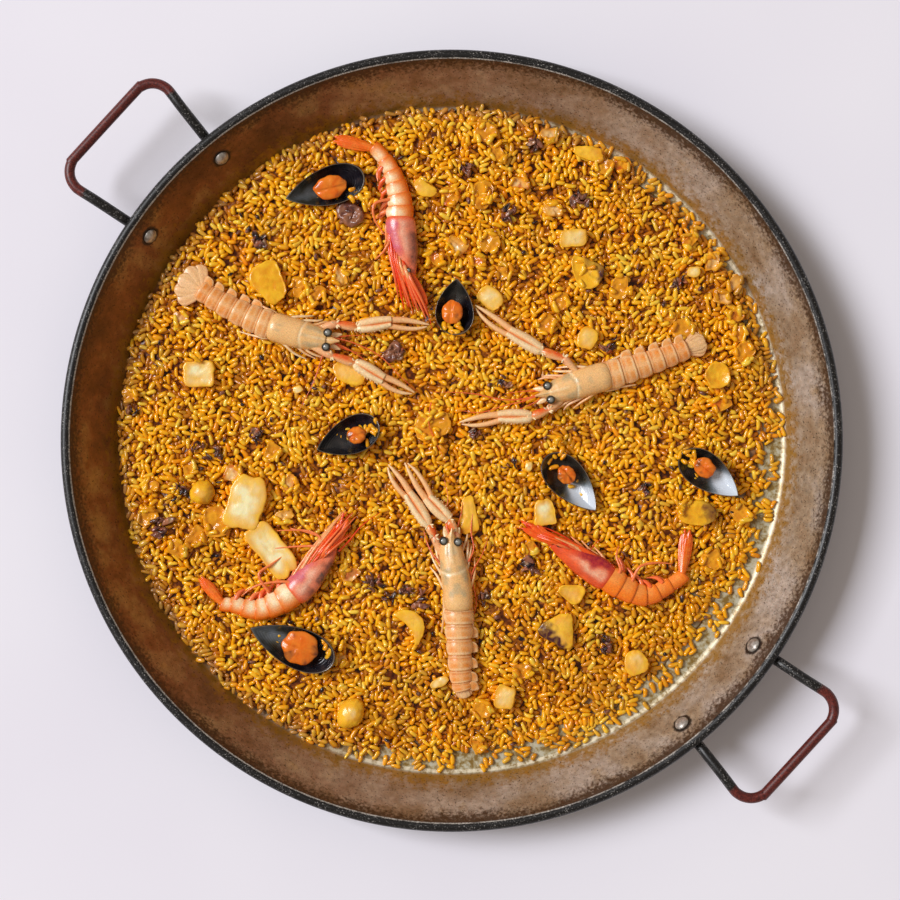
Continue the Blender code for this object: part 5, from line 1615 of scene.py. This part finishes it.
# Centre, length, width, height, heading in degrees, and the piece's own form and masks
SQUID = [
    ((-142.4, 123), 33, 24, 8, 118, {"square": 4.0, "taper": 0.3, "lean": 0.9, "rust": 0.15}),
    ((-197, 52), 24, 20, 8, 0, {"square": 5.5, "dish": -0.8, "pale": 0.6}),
    ((-160, -47), 42, 29, 9, 72, {"square": 4.0, "taper": -0.2, "dish": 0.8, "pale": 0.85}),
    ((-141, -84), 47, 22, 9, 128, {"square": 5.0, "bend": 2.0, "dish": -0.9, "pale": 0.9, "rust": 0.05}),
    ((-80, 54), 27, 19, 5.4, -20, {"square": 2.6, "lean": -0.5, "pale": 0.2}),
    ((30.5, 111.5), 20, 15, 5.4, -40, {"square": 4.0, "lean": 0.5, "pale": 0.45}),
    ((94.5, 158), 21, 14, 8, 0, {"square": 4.5, "lean": 0.5, "pale": 0.5, "rust": 0.05}),
    ((104, 133), 30, 20, 7, -40, {"square": 2.2, "taper": 0.5, "bend": 3.0, "dish": -1.5, "facing": 35,
      "rust": 0.1, "dark": 0.8}),
    ((207.8, 51), 21, 20, 6.5, 0, {"square": 2.0, "dish": -2.2, "rust": 0.15}),
    ((72.5, -56), 21, 17, 7, 96, {"square": 5.0, "taper": -0.25, "lean": 0.5, "pale": 0.5}),
    ((13.5, -57), 30, 13, 5.0, 94, {"square": 4.0, "taper": -0.3, "pale": 0.12, "rust": 0.05}),
    ((-32, -143), 32, 13, 8.5, -52, {"square": 2.2, "bend": -9.0, "dish": 1.0, "pale": 0.12}),
    ((84.5, -146), 27, 24, 8, 60, {"square": 2.6, "taper": -0.6, "dish": 1.8, "facing": 215, "pale": 0.1,
      "rust": 0.05, "dark": 1.0}),
    ((92.5, -118.5), 20, 14, 8, -20, {"square": 2.6, "taper": 0.5, "dish": -1.0, "pale": 0.1, "rust": 0.05}),
    ((144, -173), 21, 19, 9, -70, {"square": 2.5, "taper": 0.25, "dish": 1.0, "pale": 0.2, "rust": 0.05}),
    ((41.5, -200.5), 19, 16, 9, 80, {"square": 4.5, "lean": -0.6, "pale": 0.3}),
    ((-79, -213), 25, 20, 12, 50, {"square": 2.0, "dome": True, "pale": 0.3}),
    ((-194.8, -40.5), 20, 19, 11, 0, {"square": 2.0, "dome": True, "rough": 0.1, "facing": -30,
      "pale": 0.1, "rust": 0.15, "dark": 0.35}),
    ((192, -57), 29, 19, 8, 0, {"square": 2.4, "lean": 0.6, "facing": 0, "rust": 0.15, "dark": 0.7}),
    ((106, 80), 18, 16, 8, 60, {"square": 2.4, "pale": 0.2}),
    ((-21, 197), 20, 11, 7, -35, {"square": 2.2, "bend": 3.0, "pale": 0.1, "rust": 0.05}),
    ((106.5, 225), 25, 11, 6, -14, {"square": 2.4, "taper": 0.3, "pale": 0.05, "rust": 0.05}),
]

# Cooked onion and pepper in the stock, and the dark ends of tentacles
ONION = [
    ((24, 192), 23, 15, 6.5, 82, {"square": 3.2}),
    ((-14, 12), 29, 22, 6.5, 20, {"square": 2.4}),
    ((26.5, 241), 16, 15, 6.5, -30, {"square": 3.6}),
    ((29.5, 155), 17, 15, 6.5, 15, {"square": 3.0}),
    ((228.5, 69), 16, 15, 6, 40, {"square": 3.2}),
    ((226, -57), 17, 13, 6, -55, {"square": 3.0}),
    ((203.5, -94), 18, 16, 6, 25, {"square": 3.4}),
    ((24, -210), 15, 14, 6, -15, {"square": 3.2}),
    ((74, 91), 15, 14, 6.5, 35, {"square": 2.8}),
]
TENTACLES = [
    ((-79, 177), 24, 18, 7, -30, {"square": 2.0}),
    ((-45.5, 69.5), 19, 11, 6.5, 60, {"square": 2.2}),
]

# Smaller scraps that the solids leave out: place in plan and size
ONION_SCRAPS = [
    (36, 224, 13), (-1, 190, 13), (4, 153, 14), (-13, 142, 13), (20, 140, 12), (79, 180, 13), (76, 239, 12),
    (53, 201, 13), (225, 84, 11), (211, 29, 12), (-170, -26, 12), (-206, -21, 13), (-237, -60, 14),
    (-184, -63, 20), (-212, 96, 11), (-131, -58, 13), (-141, -9, 13), (20, -238, 11), (119, 214, 13),
    (134, 216, 11), (40, 133, 13), (85, 108, 12), (131, 120, 16), (204, 140, 12), (221, 123, 13),
    (187, 157, 13), (182, 87, 16), (212, 111, 12), (-106, 114, 14), (-119, 119, 12), (-87, 128, 12),
    (222, 97, 11), (-200, -75, 16), (-214, -85, 13), (-127, -33, 12), (-251, 36, 10), (-235, -35, 11),
    (-79, -105, 13), (-87, -171, 9), (55, -180, 12), (61, -84, 10), (168, 96, 11),
]
DARK_SCRAPS = [
    (64, 232, 15), (13, 213, 15), (43, 178, 20), (101, 190, 23), (42, 45, 14), (46, -18, 12), (19, 5, 13),
    (61, -97, 21), (-60, -113, 21), (-187, -10, 17), (-198, -5, 14), (-211, -39, 16), (-226, -67, 21),
    (121, 75, 15), (151, -37, 13), (-26, -124, 19), (178, 121, 16), (120, -160, 15), (-150, 158, 16),
    (-36, -116, 13), (-49, -124, 13), (-150, 4, 18), (24, -122, 12), (-250, 24, 11),
]
BLACK_CRUMBS = 110
# Small pale bits between the rice: place in plan, length, width and heading
PALE_BITS = [(-9.6, -188.5, 16, 7.5, 25), (189, 132, 11, 9, 20), (60, -20, 8, 6, 70), (-120, 40, 8, 6, 10)]


def make_cut_pieces(squid, onion, tentacle):
    kinds = (("squid", "cut", squid, SQUID, 0.0, {}),
             ("onion", "cut", onion, ONION, 0.8, {"rough": 1.0, "dish": -0.5, "lean": 0.7, "rust": 0.1}),
             ("tentacle", "curl", tentacle, TENTACLES, 1.0,
              {"rough": 1.6, "crisp": False, "dark": 0.2, "dish": -1.0}))
    for kind, ending, finish, pieces, lowered, look in kinds:
        for number, (centre, length, width, height, heading, form) in enumerate(pieces, 1):
            clay = Clay()
            name = "%s_%d" % (kind, number)
            make_lump(clay, name, centre, length, width, height - lowered, heading, **{**look, **form})
            if kind == "tentacle":
                crumple(clay, *centre, length * 0.95, random.Random(name), 0.7)
            clay.make("%s_%s" % (name, ending), [finish], kind, [name])
    rng = random.Random(21)
    clay = Clay()
    for index, (x, y, size) in enumerate(ONION_SCRAPS):
        make_lump(clay, "scrap_%d" % index, (x, y), size * 1.2, size * rng.uniform(0.6, 1.0), 4.4,
                  rng.uniform(0, 180), 3.6, rng.uniform(-0.4, 0.4), dish=-0.4, lean=0.5, rough=1.1, sides=36,
                  pale=rng.choice((0.0, 0.0, 0.3)), rust=rng.choice((0.0, 0.15, 0.5)))
    clay.make("onion_scraps", [onion], "onion")
    clay = Clay()
    for x, y, length, width, heading in PALE_BITS:
        make_lump(clay, "bit_%d" % length, (x, y), length, width, 6.5, heading, square=2.0, pale=0.6)
    clay.make("pale_bits", [squid], "squid")
    clay = Clay()
    for x, y, size in DARK_SCRAPS:
        crumple(clay, x, y, size, rng)
    for index in range(BLACK_CRUMBS):
        turn, reach = rng.uniform(0, tau), 245 * sqrt(rng.random())
        x, y = reach * cos(turn), reach * sin(turn)
        make_lump(clay, "crumb_%d" % index, (x, y), rng.uniform(3, 7), rng.uniform(2, 3.4), 3.6,
                  rng.uniform(0, 180), 2.0, rough=0.7, crisp=False, sides=10, dark=1.0)
    clay.make("dark_scraps", [tentacle], "tentacle")


# Camera, light and floor

def make_camera():
    """Straight above the pan, as in the photo."""
    data = bpy.data.cameras.new("camera")
    data.sensor_width = 36
    data.lens = 2093 / 900 * 36
    data.shift_x = -0.002
    data.shift_y = -0.0103
    camera = bpy.data.objects.new("camera", data)
    camera.location = (0, 0, 1.65)
    camera.rotation_euler = (0, 0, FOOD_TURN)
    bpy.context.scene.collection.objects.link(camera)
    bpy.context.scene.camera = camera


def make_light(name, heading, elevation, distance, size, power, colour):
    """Soft square light that faces the pan; heading is the side it stands on, as in the photo."""
    data = bpy.data.lights.new(name, "AREA")
    data.size = size
    data.energy = power
    data.color = linear(colour)[:3]
    light = bpy.data.objects.new(name, data)
    turn = radians(heading) + FOOD_TURN
    rise = radians(elevation)
    back = Vector(pointing(turn, rise))
    light.location = back * distance
    light.rotation_euler = back.to_track_quat("Z", "Y").to_euler()
    bpy.context.scene.collection.objects.link(light)


def make_studio():
    make_light("window", 163, 47, 12.0, 5.0, 1320, "#F9FAFF")
    world = bpy.data.worlds.new("studio")
    world.use_nodes = True
    world.node_tree.nodes["Background"].inputs[0].default_value = linear("#FFEFDF")
    world.node_tree.nodes["Background"].inputs[1].default_value = 0.32
    bpy.context.scene.world = world
    mesh = bpy.data.meshes.new("floor")
    half = 6.0
    corners = [(-half, -half, 0), (half, -half, 0), (half, half, 0), (-half, half, 0)]
    mesh.from_pydata(corners, [], [(0, 1, 2, 3)])
    mesh.materials.append(paper_finish())
    floor = bpy.data.objects.new("floor", mesh)
    bpy.context.scene.collection.objects.link(floor)
    bpy.context.scene.view_settings.view_transform = "Standard"


def make_food():
    langoustine = shell_finish("langoustine shell", "#F3BE78", 0.3, warm="#F08E34", red="#E8501E",
                               grey="#B0A078", pale="#FFE4B4", dark="#B05A20")
    prawn = shell_finish("prawn shell", "#FFAC4C", 0.26, warm="#FF8218", red="#F8560C", grey="#7A5A58",
                         pale="#FFEBC0", dark="#D84C14")
    legs = shell_finish("prawn legs", "#FF701E", 0.28, warm="#FF5E12", red="#EC3004", pale="#FFC07C")
    pink_head = shell_finish("pink prawn head", "#F28A66", 0.26, warm="#F4662C", red="#EE4414",
                             grey="#5E3C34", pale="#FFD6B8", dark="#CC5C78")
    crimson_head = shell_finish("crimson prawn head", "#F2602A", 0.26, warm="#EA4A1A", red="#DE2C0C",
                                grey="#8E2A1C", pale="#FFDCB4", dark="#A01030")
    heads = {"pink": pink_head, "crimson": crimson_head}
    eye = eye_finish()
    make_rice(rice_finish(), stock_and_gap_shade_finish())
    for name, form in LANGOUSTINES.items():
        make_langoustine(name, langoustine, eye, **form)
    for name, form in PRAWNS.items():
        make_prawn(name, form["spine"], form["spread"], form["look"], prawn, eye, legs,
                   heads[form["look"]["head"]])
    shell = mussel_finish()
    meat = flesh_finish("mussel flesh", "#F58B26", "#F0700F", "#3A2A22", 0.22)
    for number, (hinge, end, width, tilt, content, pearl) in enumerate(MUSSELS, 1):
        make_mussel(number, hinge, end, width, tilt, content, pearl, shell, meat)
    squid = flesh_finish("squid flesh", "#FFC428", "#F4AA16", "#4A2026", 0.24, 0.1)
    onion = flesh_finish("stewed onion", "#F2A81E", "#D98C18", "#7A3C10", 0.16, 0.1)
    tentacle = flesh_finish("tentacle skin", "#A87052", "#6E4038", "#20131A", 0.22, 0.05)
    make_cut_pieces(squid, onion, tentacle)


make_studio()
make_camera()
make_pan(pan_finish(), enamel_finish("flecked black enamel", [(0.35, "#4A4541"), (0.6, "#C9C4BC")]))
worn_enamel = enamel_finish("worn handle enamel", [(0.3, "#2A0E0C"), (0.5, "#571A16"), (0.7, "#8A3A2C")])
make_handle("handle_1", worn_enamel, 0.0)
make_handle("handle_2", worn_enamel, pi)
make_rivets(rivet_finish())
make_food()
